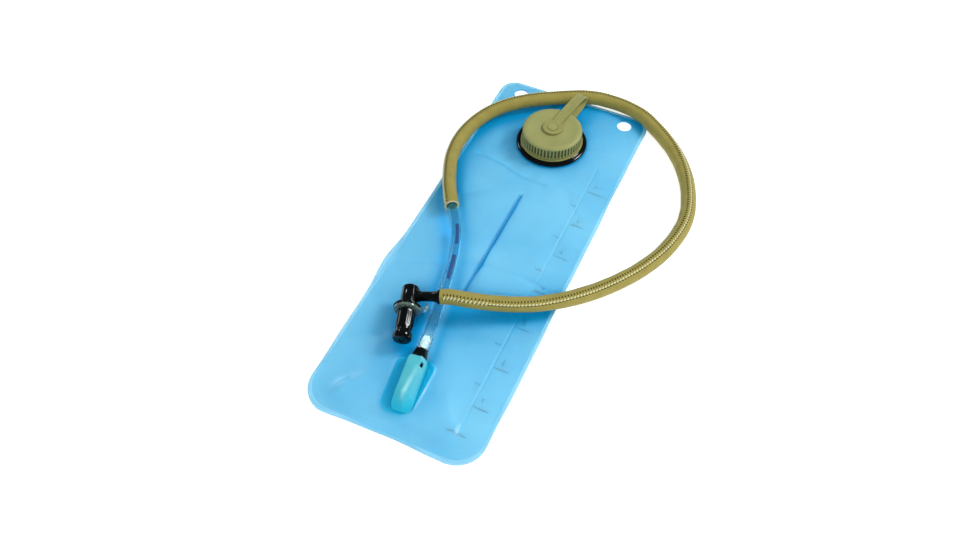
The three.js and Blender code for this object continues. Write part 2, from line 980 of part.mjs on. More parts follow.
function mouthORing() {
  const radius = nozzleRadius - oRing.depth + gap + oRing.section;
  return oRingGeometry(radius, oRing.section, mouthSealAt).rotateX(Math.PI / 2);
}

function mouthpiece() {
  const bore = nozzleRadius + gap;
  const floor = mouthEnd - mouth.endThickness;
  return mouthTurned(
    [
      [bore, mouthStart],
      [mouth.radius, mouthStart],
      [mouth.radius, mouthStart + 12],
      [mouth.waist + 0.2, mouthEnd - 12],
      [mouth.waist, mouthEnd - 9.5],
      [mouth.rim - 0.3, mouthEnd - 6],
      [mouth.rim, mouthEnd - 3.5],
      [mouth.rim - 0.5, mouthEnd - 1],
      [mouth.rim - 2, mouthEnd],
      [mouth.hole, mouthEnd],
      [mouth.hole, floor],
      [bore, floor],
    ],
    28,
  );
}

// ---- the assembly ----

addTo(bladder, 'back_film', backFilm(), finish.film);
addTo(bladder, 'front_film', frontFilm(), finish.film);
addTo(bladder, 'inner_baffle', innerBaffle(), finish.film);
addTo(bladder, 'fill_neck', fillNeck().translate(0, neckY, 0), finish.black);
addTo(bladder, 'neck_collar', neckCollar().translate(0, neckY, 0), finish.black);
addTo(bladder, 'cap_shell', capShell(), finish.tan);
addTo(bladder, 'cap_seal', capSeal(), finish.rubber);
addTo(bladder, 'cap_stud', capStud(), finish.tan);
addTo(bladder, 'tether_hub', tetherHub(), finish.tan);
addTo(bladder, 'tether_ring', tetherRing(), finish.tan);
addTo(bladder, 'tether_strap', tetherStrap(), finish.tan);
addTo(bladder, 'outlet_port', outletPort(), finish.aqua);
addTo(bladder, 'plug_collar', plugCollar(), finish.black);
addTo(bladder, 'hose_plug', hosePlug(), finish.white);
addTo(bladder, 'plug_o_ring', plugORing(), finish.rubber);
addTo(bladder, 'latch_button', latchButton(), finish.black);
addTo(bladder, 'drink_tube', drinkTube(), finish.clear);
addTo(bladder, 'tube_sleeve', tubeSleeve(), finish.cloth);
addTo(valveGroup, 'valve_elbow', valveElbow(), finish.black);
addTo(valveGroup, 'valve_stem', valveStem(), finish.black);
addTo(valveGroup, 'shutoff_ring', shutoffRing(), finish.smoke);
addTo(valveGroup, 'shutoff_spool', shutoffSpool(), finish.black);
addTo(valveGroup, 'spool_o_ring', spoolORing(), finish.rubber);
addTo(valveGroup, 'mouth_o_ring', mouthORing(), finish.rubber);
addTo(valveGroup, 'mouthpiece', mouthpiece(), finish.black);

export default bladder;
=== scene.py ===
import json
import math

import bpy
import numpy as np
from mathutils import Matrix, Vector
from mathutils.geometry import delaunay_2d_cdt


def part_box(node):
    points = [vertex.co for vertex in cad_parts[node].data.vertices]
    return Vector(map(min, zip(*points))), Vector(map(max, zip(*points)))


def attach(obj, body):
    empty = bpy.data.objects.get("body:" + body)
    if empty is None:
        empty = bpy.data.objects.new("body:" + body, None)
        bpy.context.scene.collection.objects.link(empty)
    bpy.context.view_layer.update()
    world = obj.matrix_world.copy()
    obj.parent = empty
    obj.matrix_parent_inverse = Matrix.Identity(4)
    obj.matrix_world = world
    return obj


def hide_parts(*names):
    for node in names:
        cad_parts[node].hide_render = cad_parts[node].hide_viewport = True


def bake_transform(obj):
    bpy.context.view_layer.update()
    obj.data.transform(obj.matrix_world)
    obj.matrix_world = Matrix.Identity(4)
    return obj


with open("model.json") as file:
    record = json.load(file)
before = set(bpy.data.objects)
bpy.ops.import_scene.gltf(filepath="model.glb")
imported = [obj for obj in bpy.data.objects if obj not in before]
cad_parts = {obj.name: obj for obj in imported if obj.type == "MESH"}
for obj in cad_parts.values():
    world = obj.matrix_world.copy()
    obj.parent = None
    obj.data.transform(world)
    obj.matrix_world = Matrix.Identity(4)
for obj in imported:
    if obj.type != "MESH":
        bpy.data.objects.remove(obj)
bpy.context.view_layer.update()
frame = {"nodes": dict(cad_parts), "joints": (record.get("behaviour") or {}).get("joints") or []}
nodes = frame["nodes"]
joints = {joint["name"]: joint for joint in frame["joints"]}

# A hydration bladder lying flat. Lengths are in millimetres until a mesh is made, and +Y is the filling end.
mm = 0.001


# Camera.

camera = {
    "place": (221.4, -508.2, 684.8),
    "turn": 23.937,  # degrees round the vertical
    "tip": 37.183,  # degrees from straight down
    "roll": 0.7,
    "lens": 34.1,
}


def addCamera():
    data = bpy.data.cameras.new("camera")
    data.lens = camera["lens"]
    seen = bpy.data.objects.new("camera", data)
    bpy.context.scene.collection.objects.link(seen)
    turn, tip, roll = (math.radians(camera[key]) for key in ("turn", "tip", "roll"))
    aim = Matrix.Rotation(turn, 4, "Z") @ Matrix.Rotation(tip, 4, "X") @ Matrix.Rotation(roll, 4, "Z")
    seen.matrix_world = Matrix.Translation(Vector(camera["place"]) * mm) @ aim
    bpy.context.scene.camera = seen


addCamera()
print("camera placed")


# Small tools for shapes.

def addMesh(name, shape, place=None, sharp=40):
    points, faces = shape
    points = [Vector(p) for p in points]
    if place is not None:
        points = [place @ p for p in points]
    mesh = bpy.data.meshes.new(name)
    mesh.from_pydata([p * mm for p in points], [], faces)
    mesh.validate()
    mesh.shade_smooth()
    mesh.set_sharp_from_angle(angle=math.radians(sharp))
    piece = bpy.data.objects.new(name, mesh)
    bpy.context.scene.collection.objects.link(piece)
    return piece


def addPiece(name, shape, finish, body, stands=(), place=None, sharp=40):
    piece = addMesh(name, shape, place, sharp)
    return settle(piece, finish, body, stands)


def settle(piece, finish, body, stands=()):
    piece.data.materials.clear()
    piece.data.materials.append(finish)
    if body:
        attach(piece, body)
    if stands:
        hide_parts(*stands)
    return piece


def joined(*shapes):
    points, faces = [], []
    for more, sides in shapes:
        first = len(points)
        points += [tuple(p) for p in more]
        faces += [[first + i for i in face] for face in sides]
    return points, faces


def moved(shape, matrix):
    points, faces = shape
    return [tuple(matrix @ Vector(p)) for p in points], faces


def smoothStep(low, high, value):
    share = np.clip((value - low) / (high - low), 0, 1)
    return share * share * (3 - 2 * share)


# Rounds a polyline's corners by a short curve on each.
def eased(points, radius, closed=True, bends=3):
    out = []
    count = len(points)
    for i, point in enumerate(points):
        if not closed and i in (0, count - 1):
            out.append(tuple(point))
            continue
        here = Vector(point)
        back = Vector(points[i - 1]) - here
        ahead = Vector(points[(i + 1) % count]) - here
        if math.pi - back.angle(ahead) < math.radians(8):
            out.append(tuple(point))
            continue
        a = here + back.normalized() * min(radius, 0.42 * back.length)
        b = here + ahead.normalized() * min(radius, 0.42 * ahead.length)
        for k in range(bends + 1):
            t = k / bends
            out.append(tuple(a * (1 - t) ** 2 + here * (2 * t * (1 - t)) + b * t * t))
    return out


# Turns a profile of [radius, height] about Z, up the outside and down the inside. A third number on a point
# says how much of the relief, a list of depths repeated round the piece, that point takes.
def turned(profile, steps=96, relief=(0,)):
    points, rings, faces = [], [], []
    for radius, height, *share in profile:
        if radius < 1e-6:
            rings.append([len(points)] * steps)
            points.append((0, 0, height))
            continue
        rings.append(list(range(len(points), len(points) + steps)))
        for i in range(steps):
            angle = 2 * math.pi * i / steps
            r = radius - (share[0] if share else 0) * relief[i % len(relief)]
            points.append((r * math.cos(angle), r * math.sin(angle), height))
    pairs = list(zip(rings, rings[1:]))
    if profile[0][0] > 1e-6:
        pairs.append((rings[-1], rings[0]))
    for low, high in pairs:
        for i in range(steps):
            j = (i + 1) % steps
            face = list(dict.fromkeys([low[i], low[j], high[j], high[i]]))
            if len(face) > 2:
                faces.append(face)
    return points, faces


# A grid of rings, each a list of points of equal count, closed round and capped or joined at its ends.
def lofted(rings, capped=True, looped=False):
    count = len(rings[0])
    points = [tuple(p) for ring in rings for p in ring]
    faces = []
    last = len(rings) if looped else len(rings) - 1
    for k in range(last):
        a, b = k * count, ((k + 1) % len(rings)) * count
        for i in range(count):
            j = (i + 1) % count
            faces.append([a + i, a + j, b + j, b + i])
    if capped and not looped:
        faces.append(list(range(count))[::-1])
        faces.append(list(range((len(rings) - 1) * count, len(rings) * count)))
    return points, faces


# Sweeps a section along a line in XZ. The section is a list, or a function of the share of the way.
def swept(line, section):
    rings = []
    for k, (x, z, _) in enumerate(line):
        a, b = line[max(k - 1, 0)], line[min(k + 1, len(line) - 1)]
        length = math.hypot(b[0] - a[0], b[1] - a[1])
        tx, tz = (b[0] - a[0]) / length, (b[1] - a[1]) / length
        corners = section(k / (len(line) - 1)) if callable(section) else section
        rings.append([(x - tz * h, w, z + tx * h) for w, h in corners])
    points, faces = lofted(rings)
    return points, [face[::-1] for face in faces]


# Cuts one shape out of a piece, and leaves no modifier behind.
def carve(piece, shape, place=None, sharp=40):
    cutter = addMesh("cutter", shape, place)
    hole = piece.modifiers.new("hole", "BOOLEAN")
    hole.operation = "DIFFERENCE"
    hole.solver = "EXACT"
    hole.object = cutter
    bpy.context.view_layer.update()
    seen = piece.evaluated_get(bpy.context.evaluated_depsgraph_get())
    carved = bpy.data.meshes.new_from_object(seen)
    piece.modifiers.clear()
    piece.data = carved
    carved.shade_smooth()
    carved.set_sharp_from_angle(angle=math.radians(sharp))
    bpy.data.objects.remove(cutter)
    return piece


def boxShape(low, high):
    corners = [(x, y, z) for z in (low[2], high[2]) for y in (low[1], high[1]) for x in (low[0], high[0])]
    faces = [[0, 2, 3, 1], [4, 5, 7, 6], [0, 1, 5, 4], [2, 6, 7, 3], [0, 4, 6, 2], [1, 3, 7, 5]]
    return corners, faces


# A soft-ended bead at a point, long along one direction, wide along another and thick along the third.
def bead(centre, along, across, out, size, around=6, rows=4):
    centre, along, across, out = Vector(centre), Vector(along), Vector(across), Vector(out)
    points = [centre - along * size[0]]
    for row in range(1, rows):
        tilt = math.pi * row / rows
        for i in range(around):
            angle = 2 * math.pi * i / around
            ring = across * (size[1] * math.cos(angle)) + out * (size[2] * math.sin(angle))
            points.append(centre - along * (size[0] * math.cos(tilt)) + ring * math.sin(tilt))
    points.append(centre + along * size[0])
    faces = []
    top = len(points) - 1
    for i in range(around):
        j = (i + 1) % around
        faces.append([0, 1 + j, 1 + i])
        faces.append([top, top - around + i, top - around + j])
        for row in range(rows - 2):
            a, b = 1 + row * around, 1 + (row + 1) * around
            faces.append([a + i, a + j, b + j, b + i])
    return points, faces


# Small tools for materials.

def linear(hexColour):
    parts = [int(hexColour[i:i + 2], 16) / 255 for i in (1, 3, 5)]
    return tuple(p / 12.92 if p <= 0.04045 else ((p + 0.055) / 1.055) ** 2.4 for p in parts) + (1.0,)


def perMetre(size):
    return 1 / (size * mm)


# Adds a node with its settings, sets or links its inputs, and gives back one output. Sockets go by name, or by
# number where a node has several of one name: a Mix's two colours are 6 and 7.
def addNode(material, kind, inputs, output=0, **settings):
    node = material.node_tree.nodes.new("ShaderNode" + kind)
    for key, value in settings.items():
        setattr(node, key, value)
    for key, value in inputs.items():
        if isinstance(value, bpy.types.NodeSocket):
            material.node_tree.links.new(value, node.inputs[key])
        else:
            node.inputs[key].default_value = value
    return node.outputs[output]


def newMaterial(name, values):
    material = bpy.data.materials.new(name)
    material.use_nodes = True
    shader = material.node_tree.nodes["Principled BSDF"]
    for key, value in values.items():
        shader.inputs[key].default_value = value
    place = material.node_tree.nodes.new("ShaderNodeTexCoord").outputs["Object"]
    return material, shader, place


def feed(material, shader, key, socket):
    material.node_tree.links.new(socket, shader.inputs[key])


# A material whose colour follows one pattern, of a size in millimetres, from a darker to a lighter shade. Its
# roughness may follow it between two values, and so may its skin, by a depth in millimetres and a strength.
def mottled(name, values, size, darker, lighter, rough=None, skin=None):
    material, shader, place = newMaterial(name, values)
    pattern = addNode(material, "TexNoise", {"Vector": place, "Scale": perMetre(size), "Detail": 3.0})
    feed(material, shader, "Base Color",
        addNode(material, "Mix", {0: pattern, 6: linear(darker), 7: linear(lighter)}, 2, data_type="RGBA"))
    if rough:
        feed(material, shader, "Roughness",
            addNode(material, "MapRange", {0: pattern, 1: 0.3, 2: 0.7, 3: rough[0], 4: rough[1]}))
    if skin:
        feed(material, shader, "Normal",
            addNode(material, "Bump", {"Height": pattern, "Distance": skin[0] * mm, "Strength": skin[1]}))
    return material


# The drink tube's route, from the outlet to the valve.

route = [
    (-3.6, -140.1, 14.3), (-5.3, -128.0, 14.2), (-9.6, -104.6, 12.2), (-13.9, -82.0, 11.8),
    (-18.9, -60.0, 11.8), (-24.3, -38.0, 11.8), (-31.1, -17.7, 12.4), (-40.6, 1.2, 13.5),
    (-51.6, 17.1, 14.3), (-63.4, 36.3, 14.1), (-74.2, 57.8, 11.5), (-83.0, 81.2, 9.9),
    (-86.7, 104.8, 8.9), (-85.0, 126.9, 9.1), (-78.7, 146.0, 10.4), (-68.6, 161.5, 12.3),
    (-56.9, 174.0, 13.5), (-45.0, 184.8, 13.4), (-32.1, 195.2, 12.5), (-19.3, 204.8, 10.8),
    (-6.5, 213.5, 9.8), (7.9, 220.6, 9.6), (23.2, 225.6, 8.7), (39.6, 227.0, 8.1),
    (56.5, 224.6, 8.8), (73.6, 218.5, 9.7), (89.5, 209.1, 8.7), (120.6, 183.5, 7.4),
    (144.9, 146.6, 7.4), (157.1, 102.7, 7.4), (152.2, 61.0, 7.4), (138.9, 28.6, 7.4),
    (122.9, 3.1, 7.8), (106.2, -18.2, 9.0), (87.3, -38.5, 11.9), (65.8, -56.1, 15.0),
    (40.6, -71.0, 19.5), (15.5, -82.8, 25.0), (-1.9, -86.7, 25.0), (-10.4, -89.5, 23.9),
]


# A smooth curve through the route's points, evenly spaced along its length.
def smoothRoute(points, spacing):
    dots = [np.array(p, float) for p in points]
    dots = [2 * dots[0] - dots[1]] + dots + [2 * dots[-1] - dots[-2]]
    fine = []
    for p0, p1, p2, p3 in zip(dots, dots[1:], dots[2:], dots[3:]):
        t1 = np.linalg.norm(p1 - p0) ** 0.5
        t2 = t1 + np.linalg.norm(p2 - p1) ** 0.5
        t3 = t2 + np.linalg.norm(p3 - p2) ** 0.5
        for t in np.linspace(t1, t2, 24, endpoint=False):
            a1 = p0 * (t1 - t) / t1 + p1 * t / t1
            a2 = p1 * (t2 - t) / (t2 - t1) + p2 * (t - t1) / (t2 - t1)
            a3 = p2 * (t3 - t) / (t3 - t2) + p3 * (t - t2) / (t3 - t2)
            b1 = a1 * (t2 - t) / t2 + a2 * t / t2
            b2 = a2 * (t3 - t) / (t3 - t1) + a3 * (t - t1) / (t3 - t1)
            fine.append(b1 * (t2 - t) / (t2 - t1) + b2 * (t - t1) / (t2 - t1))
    fine.append(dots[-2])
    fine = np.array(fine)
    along = np.concatenate([[0], np.cumsum(np.linalg.norm(np.diff(fine, axis=0), axis=1))])
    at = np.linspace(0, along[-1], int(along[-1] / spacing) + 1)
    return at, np.stack([np.interp(at, along, fine[:, k]) for k in range(3)], axis=1)


routeSpacing = 1.5
routeAt, routeLine = smoothRoute(route, routeSpacing)
routeLength = routeAt[-1]


# The place and the three directions at a distance along the route: ahead, to the loop's outer side, and up.
def routeFrame(distance):
    distance = min(max(distance, 0), routeLength)
    here = Vector([float(np.interp(distance, routeAt, routeLine[:, k])) for k in range(3)])
    reach = 3.0
    before, after = max(distance - reach, 0), min(distance + reach, routeLength)
    a = Vector([float(np.interp(before, routeAt, routeLine[:, k])) for k in range(3)])
    b = Vector([float(np.interp(after, routeAt, routeLine[:, k])) for k in range(3)])
    ahead = (b - a).normalized()
    outer = Vector((-ahead.y, ahead.x, 0)).normalized()
    return here, ahead, outer, ahead.cross(outer)


def onRoute(distance, angle, radius):
    here, _, outer, up = routeFrame(distance)
    return here + (outer * math.cos(angle) + up * math.sin(angle)) * radius


# A hollow tube along part of the route. Its radii are functions of distance and angle.
def routeTube(start, end, spacing, sides, outside, inside):
    count = max(2, round((end - start) / spacing))
    distances = [start + (end - start) * k / count for k in range(count + 1)]
    angles = [2 * math.pi * i / sides for i in range(sides)]
    outer = [[onRoute(d, a, outside(d, a)) for a in angles] for d in distances]
    inner = [[onRoute(d, a, inside(d, a)) for a in angles] for d in distances]
    return lofted(outer + inner[::-1], looped=True), distances, angles


# The tube.

tube = {
    "outside": 4.75,
    "wall": 1.35,
    "sides": 40,
    "bulge": 0.75,  # where it is stretched over the outlet's barb
    "bulgeEnd": 15.0,
    "ridgePitch": 4.4,
    "ridge": 0.22,
}


# Extruded clear polyurethane with a faint blue tint: glassy, with bright lines down its walls, and it lets most
# light through to what it lies on.
def clearPolyurethane():
    material, shader, place = newMaterial("clearPolyurethane", {
        "Transmission Weight": 0.94, "IOR": 1.16, "Coat Weight": 0.22, "Coat Roughness": 0.04, "Coat IOR": 1.5,
    })
    clearer = addNode(material, "Attribute", {}, "Fac", attribute_name="stretched")
    tint = addNode(material, "Mix", {0: clearer, 6: linear("#8fd3e2"), 7: linear("#dcefee")}, 2, data_type="RGBA")
    feed(material, shader, "Base Color", tint)
    drawn = addNode(material, "TexNoise", {"Vector": place, "Scale": perMetre(14.0), "Detail": 3.0})
    feed(material, shader, "Roughness",
        addNode(material, "MapRange", {0: drawn, 1: 0.3, 2: 0.7, 3: 0.02, 4: 0.08}))
    passed = addNode(material, "BsdfTransparent", {"Color": linear("#e6f5fc")}, "BSDF")
    asked = addNode(material, "LightPath", {}, "Is Shadow Ray")
    both = addNode(material, "MixShader", {0: asked, 1: shader.outputs["BSDF"], 2: passed})
    surface = material.node_tree.nodes["Material Output"]
    material.node_tree.links.new(both, surface.inputs["Surface"])
    return material


def tubeOutside(distance, angle):
    stretched = 1 - float(smoothStep(tube["bulgeEnd"] - 3, tube["bulgeEnd"] + 3, distance))
    ridges = tube["ridge"] * math.cos(2 * math.pi * distance / tube["ridgePitch"])
    return tube["outside"] + stretched * (tube["bulge"] + ridges)


def tubeInside(distance, angle):
    return tubeOutside(distance, angle) - tube["wall"]


def addTube():
    shape, _, _ = routeTube(0, routeLength, routeSpacing, tube["sides"], tubeOutside, tubeInside)
    piece = addPiece("clear_tube", shape, clearPolyurethane(), "reservoir", ["drink_tube"])
    # It is clearest where the barb stretches it.
    first = Vector(route[0])
    away = np.array([(Vector(p) - first).length for p in shape[0]])
    layer = piece.data.attributes.new("stretched", "FLOAT", "POINT")
    layer.data.foreach_set("value", (1 - smoothStep(16, 24, away)).astype(np.float32))
    return piece


# Plain printed bars, in two stretches.
bars = {
    "stretches": [(77.0, 106.0), (118.0, 145.0)],
    "from": 90,  # degrees round the tube
    "to": 132,
    "dash": 4.8,
    "space": 0.45,
    "proud": 0.04,
}


# Pad-printed ink: flat and matt on the tube.
def printedInk():
    return mottled("printedInk", {"Roughness": 0.6}, 0.9, "#062c66", "#0b4583")


def addBars():
    shapes = []
    radius = tube["outside"] + bars["proud"]
    low, high = math.radians(bars["from"]), math.radians(bars["to"])
    for start, end in bars["stretches"]:
        count = int((end - start) / bars["dash"])
        for k in range(count):
            a = start + k * bars["dash"]
            b = a + bars["dash"] - bars["space"]
            rings = []
            for d in np.linspace(a, b, 6):
                angles = np.linspace(low, high, 7)
                top = [onRoute(d, angle, radius + 0.05) for angle in angles]
                rings.append(top + [onRoute(d, angle, radius - 0.02) for angle in angles[::-1]])
            shapes.append(lofted(rings))
    return addPiece("tube_bars", joined(*shapes), printedInk(), "reservoir")


# The sleeve.

sleeve = {
    "sizes": [
        (160, 6.7), (250, 6.9), (270, 7.2), (330, 6.8), (450, 7.0), (480, 6.7), (512, 7.5), (780, 7.4),
        (816, 7.1),
        (916, 7.0)],
    "inside": 5.7,
    "start": routeLength * 11 / 60,
    "sides": 72,
    "seamLow": 37.0,  # degrees up from the loop's outer side
    "seamHigh": 66.0,
    "seamHeight": 0.5,
    # How many degrees the seam wanders up, by distance.
    "twist": [
        (167, -12), (230, 0), (300, 17), (520, 17), (600, 38), (700, 30), (750, 22), (800, 14), (850, 3),
        (916, 0)],
    "stitchPitch": 3.2,
    "stitchAngle": 42.0,
    "stitch": (1.45, 0.62, 0.4),  # half its length, width and height
    # This row's dark dashes are long enough to run together as a painted shadow along the seam's fold.
    "holeAndShadowAngle": 33.0,
    "hole": (1.35, 0.62, 0.28),
    "rowAngle": 64.0,
    "rowPitch": 2.9,
    "tick": (0.62, 1.15, 0.36),
    "edgeRadius": 6.2,
    "slant": 62.0,
    "yarn": 0.75,  # drawn twice as coarse as it is, so that it shows
    "ripple": 0.12,
}


# The cloth is pulled thinner in some stretches and gathered in others.
def sleeveSize(distance):
    at, sizes = zip(*sleeve["sizes"])
    return float(np.interp(distance, at, sizes))


def seamTwist(distance):
    at, twists = zip(*sleeve["twist"])
    return float(np.interp(distance, at, twists))


def sleeveOutside(distance, angle):
    degrees = (math.degrees(angle) - seamTwist(distance)) % 360
    up = float(smoothStep(sleeve["seamLow"] - 3, sleeve["seamLow"] + 1, degrees))
    down = float(smoothStep(sleeve["seamHigh"] - 2, sleeve["seamHigh"] + 4, degrees))
    ripple = math.sin(distance / 4.1 + 1.3 * math.sin(distance / 17.0) + 2 * math.cos(angle))
    slack = 0.5 - 0.5 * math.cos(angle)  # the cloth gathers on the loop's inner side
    lip = 0.25 * math.exp(-((distance - sleeve["start"]) / 1.2) ** 2)
    seam = sleeve["seamHeight"] * up * (1 - down)
    return sleeveSize(distance) + seam + sleeve["ripple"] * ripple * slack + lip


def sleeveInside(distance, angle):
    return sleeve["inside"]


# Woven nylon, dyed khaki: a dry, even cloth with a fine basket of yarns and a little fading.
def wovenNylon():
    material, shader, place = newMaterial("wovenNylon", {"Sheen Weight": 0.12, "Sheen Roughness": 0.5})
    laid = addNode(material, "UVMap", {}, "UV", uv_map="cloth")
    bands = []
    for direction in ("X", "Y"):
        inputs = {"Vector": laid, "Scale": perMetre(sleeve["yarn"]) / 20 * math.pi, "Distortion": 0.4,
            "Detail": 1.0}
        bands.append(addNode(material, "TexWave", inputs, "Fac", bands_direction=direction))
    weave = addNode(material, "Math", {0: bands[0], 1: bands[1]}, operation="MULTIPLY")
    faded = addNode(material, "TexNoise", {"Vector": place, "Scale": perMetre(9.0), "Detail": 3.0})
    dye = addNode(material, "Mix", {0: faded, 6: linear("#9c8938"), 7: linear("#bba853")}, 2, data_type="RGBA")
    # Painted shade: the gaps between the yarns are painted darker.
    yarnGapShade = addNode(material, "MapRange", {0: weave, 1: 0.0, 2: 0.6, 3: 0.5, 4: 0.0})
    darker = addNode(material, "Mix", {0: yarnGapShade, 6: dye, 7: linear("#6b6030")}, 2, data_type="RGBA")
    feed(material, shader, "Base Color", darker)
    feed(material, shader, "Roughness",
        addNode(material, "MapRange", {0: weave, 1: 0.0, 2: 1.0, 3: 0.95, 4: 0.8}))
    feed(material, shader, "Normal",
        addNode(material, "Bump", {"Height": weave, "Distance": 0.12 * mm, "Strength": 0.7}))
    return material


# Bonded polyester thread: pale cream, slightly shiny, twisted from fine plies.
def bondedThread():
    values = {"Roughness": 0.55, "Sheen Weight": 0.2}
    return mottled("bondedThread", values, 0.5, "#cfc58a", "#f2ecc6", skin=(0.1, 1.0))


# The needle's holes, dark brown pits where the cloth is pulled in, and a painted shadow along the seam's fold.
def needleHoleAndShadow():
    return mottled("needleHoleAndShadow", {"Roughness": 0.95}, 0.8, "#2a2410", "#433a1a")


# The cut and heat-sealed edge of the cloth: pale, fused yarn ends.
def sealedEdge():
    return mottled("sealedEdge", {"Roughness": 0.6}, 0.7, "#b9a96a", "#f0e7c0", skin=(0.2, 1.0))


def addSleeve():
    start, end = sleeve["start"], routeLength
    shape, distances, angles = routeTube(start, end, 2.0, sleeve["sides"], sleeveOutside, sleeveInside)
    piece = addPiece("cloth_sleeve", shape, wovenNylon(), "reservoir", ["tube_sleeve"], sharp=60)
    # The weave is laid by distance along the sleeve and distance round it.
    rows = list(distances) + list(distances)[::-1]
    sides = len(angles)
    layer = piece.data.uv_layers.new(name="cloth")
    for polygon in piece.data.polygons:
        for loop in polygon.loop_indices:
            vertex = piece.data.loops[loop].vertex_index
            row, side = divmod(vertex, sides)
            turn = angles[side]
            onSeam = side == 0 and any(
                piece.data.loops[other].vertex_index % sides == sides - 1 for other in polygon.loop_indices)
            if onSeam:
                turn = 2 * math.pi
            layer.data[loop].uv = (rows[row] * mm, turn * sleeveSize(rows[row]) * mm)
    return piece


def sleeveRow(angle, pitch, size, slant, lift, first=0.0):
    shapes = []
    start, end = sleeve["start"] + 2.0 + first, routeLength - 2.0
    count = int((end - start) / pitch)
    for k in range(count + 1):
        distance = start + k * pitch
        here, ahead, outer, up = routeFrame(distance)
        turn = math.radians(angle + seamTwist(distance))
        out = outer * math.cos(turn) + up * math.sin(turn)
        round_ = out.cross(ahead)
        nearEnd = distance > end - 40 or distance < start + 14
        lean = math.radians(slant if nearEnd else slant * 0.5)
        along = ahead * math.cos(lean) + round_ * math.sin(lean)
        across = along.cross(out)
        radius = sleeveOutside(distance, turn) + lift
        long = size[0] * (1.5 if nearEnd and slant else 1)
        wide = size[1] * (1.3 if distance < 560 and not first else 1)
        shapes.append(bead(here + out * radius, along, across, out, (long, wide, size[2])))
    return shapes


def addStitching():
    stitches = sleeveRow(sleeve["stitchAngle"], sleeve["stitchPitch"], sleeve["stitch"], sleeve["slant"], 0.1)
    pieces = [addPiece("sleeve_stitches", joined(*stitches), bondedThread(), "reservoir")]
    # This row is both the needle's holes and a painted shadow along the seam's fold.
    holes = sleeveRow(sleeve["holeAndShadowAngle"], sleeve["stitchPitch"], sleeve["hole"], 0, 0.0, 0.9)
    holes += sleeveRow(sleeve["rowAngle"], sleeve["rowPitch"], sleeve["tick"], 0, 0.04)
    pieces.append(addPiece("sleeve_holes", joined(*holes), needleHoleAndShadow(), "reservoir"))
    return pieces


# The sealed edge where the sleeve ends, a little uneven.
def addCutEdge():
    rings = []
    for k in range(72):
        angle = 2 * math.pi * k / 72
        uneven = 0.25 * math.sin(5 * angle) + 0.18 * math.sin(11 * angle + 1)
        ring = []
        for i in range(10):
            turn = 2 * math.pi * i / 10
            radius = sleeve["edgeRadius"] + (0.85 + 0.1 * uneven) * math.cos(turn)
            ring.append(onRoute(sleeve["start"] - 0.1 + 0.55 * math.sin(turn) + 0.5 * uneven, angle, radius))
        rings.append(ring)
    shape = lofted(rings, looped=True)
    shape = shape[0], [face[::-1] for face in shape[1]]
    return addPiece("sleeve_cut_edge", shape, sealedEdge(), "reservoir")


clearTube = addTube()
onTube = [addBars(), addSleeve(), *addStitching(), addCutEdge()]
print("tube and sleeve made,", round(routeLength), "mm long")


# The reservoir's films.

pouchLow, pouchHigh = (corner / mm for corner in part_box("back_film"))
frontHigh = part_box("front_film")[1] / mm

film = {
    "thick": 0.7,
    "rim": 1.7,  # top of the two films where they are welded
    "sideWeld": 5.0,
    "topWeld": 13.0,
    "bottomWeld": 8.0,
    "topCorner": 16.0,
    "bottomCorner": 28.0,
    "shoulder": 50.0,
    "bottomSlope": 0.3,
    "riseOver": 46.0,
    "step": 2.0,
    "holeRadius": 7.5,
    "holeFromSide": 23.5,
    "holeFromTop": 16.0,
    "neckHole": 25.3,
    "weldLine": 3.6,  # the pressed line inside the film's edge
    "bulge": 4.0,  # the left edge stands out where the film was folded
    "bulgeAt": -55.0,
    "bulgeReach": 26.0,
}

neckPlace = Vector(joints["cap_turn"]["pos_m"]) / mm

outlet = {
    "x": -2.0,
    "fromBottom": 69.5,
    "heading": 8.0,
    "axis": 14.3,
    "width": 18.0,
    "length": 47.0,
    "tailCorner": 5.0,
    "baseWidth": 31.0,
    "baseLength": 54.0,
    "baseAhead": 4.5,
    "baseFirst": (-2.4, 16.6),  # the flange's middle and half width at the mouth
    "baseLast": (-5.2, 14.0),  # and at the tail
    "baseTopCorner": 7.0,
    "baseBottomCorner": 11.0,
}

outletPlace = Matrix.Translation((outlet["x"], pouchLow.y + outlet["fromBottom"], 0))
outletPlace = outletPlace @ Matrix.Rotation(math.radians(outlet["heading"]), 4, "Z")


# How far points are inside a rectangle with round corners, and how much of that way is from its bottom.
def insideOf(x, y, left, right, bottom, top, topRadius, bottomRadius):
    upper = y > (top + bottom) / 2
    radius = np.where(upper, topRadius, bottomRadius)
    qx = np.abs(x - (left + right) / 2) - ((right - left) / 2 - radius)
    qy = np.where(upper, y - (top - radius), bottom + radius - y)
    corner = np.hypot(np.maximum(qx, 0), np.maximum(qy, 0))
    inside = radius - corner - np.minimum(np.maximum(qx, qy), 0)
    inCorner = (qx > 0) & (qy > 0)
    fromEnd = np.where(inCorner, qy / np.maximum(corner, 1e-6), smoothStep(-10, 10, qy - qx))
    return inside, np.where(upper, 0, fromEnd)


def fromEdge(x, y):
    return insideOf(x, y, pouchLow.x, pouchHigh.x, pouchLow.y, pouchHigh.y, film["topCorner"],
        film["bottomCorner"])[0]


def fromWeld(x, y):
    side = film["sideWeld"]
    inside, down = insideOf(
        x, y, pouchLow.x + side, pouchHigh.x - side, pouchLow.y + film["bottomWeld"],
        pouchHigh.y - film["topWeld"],
        film["shoulder"], film["bottomCorner"])
    return inside / (1 - (1 - film["bottomSlope"]) * down * down)


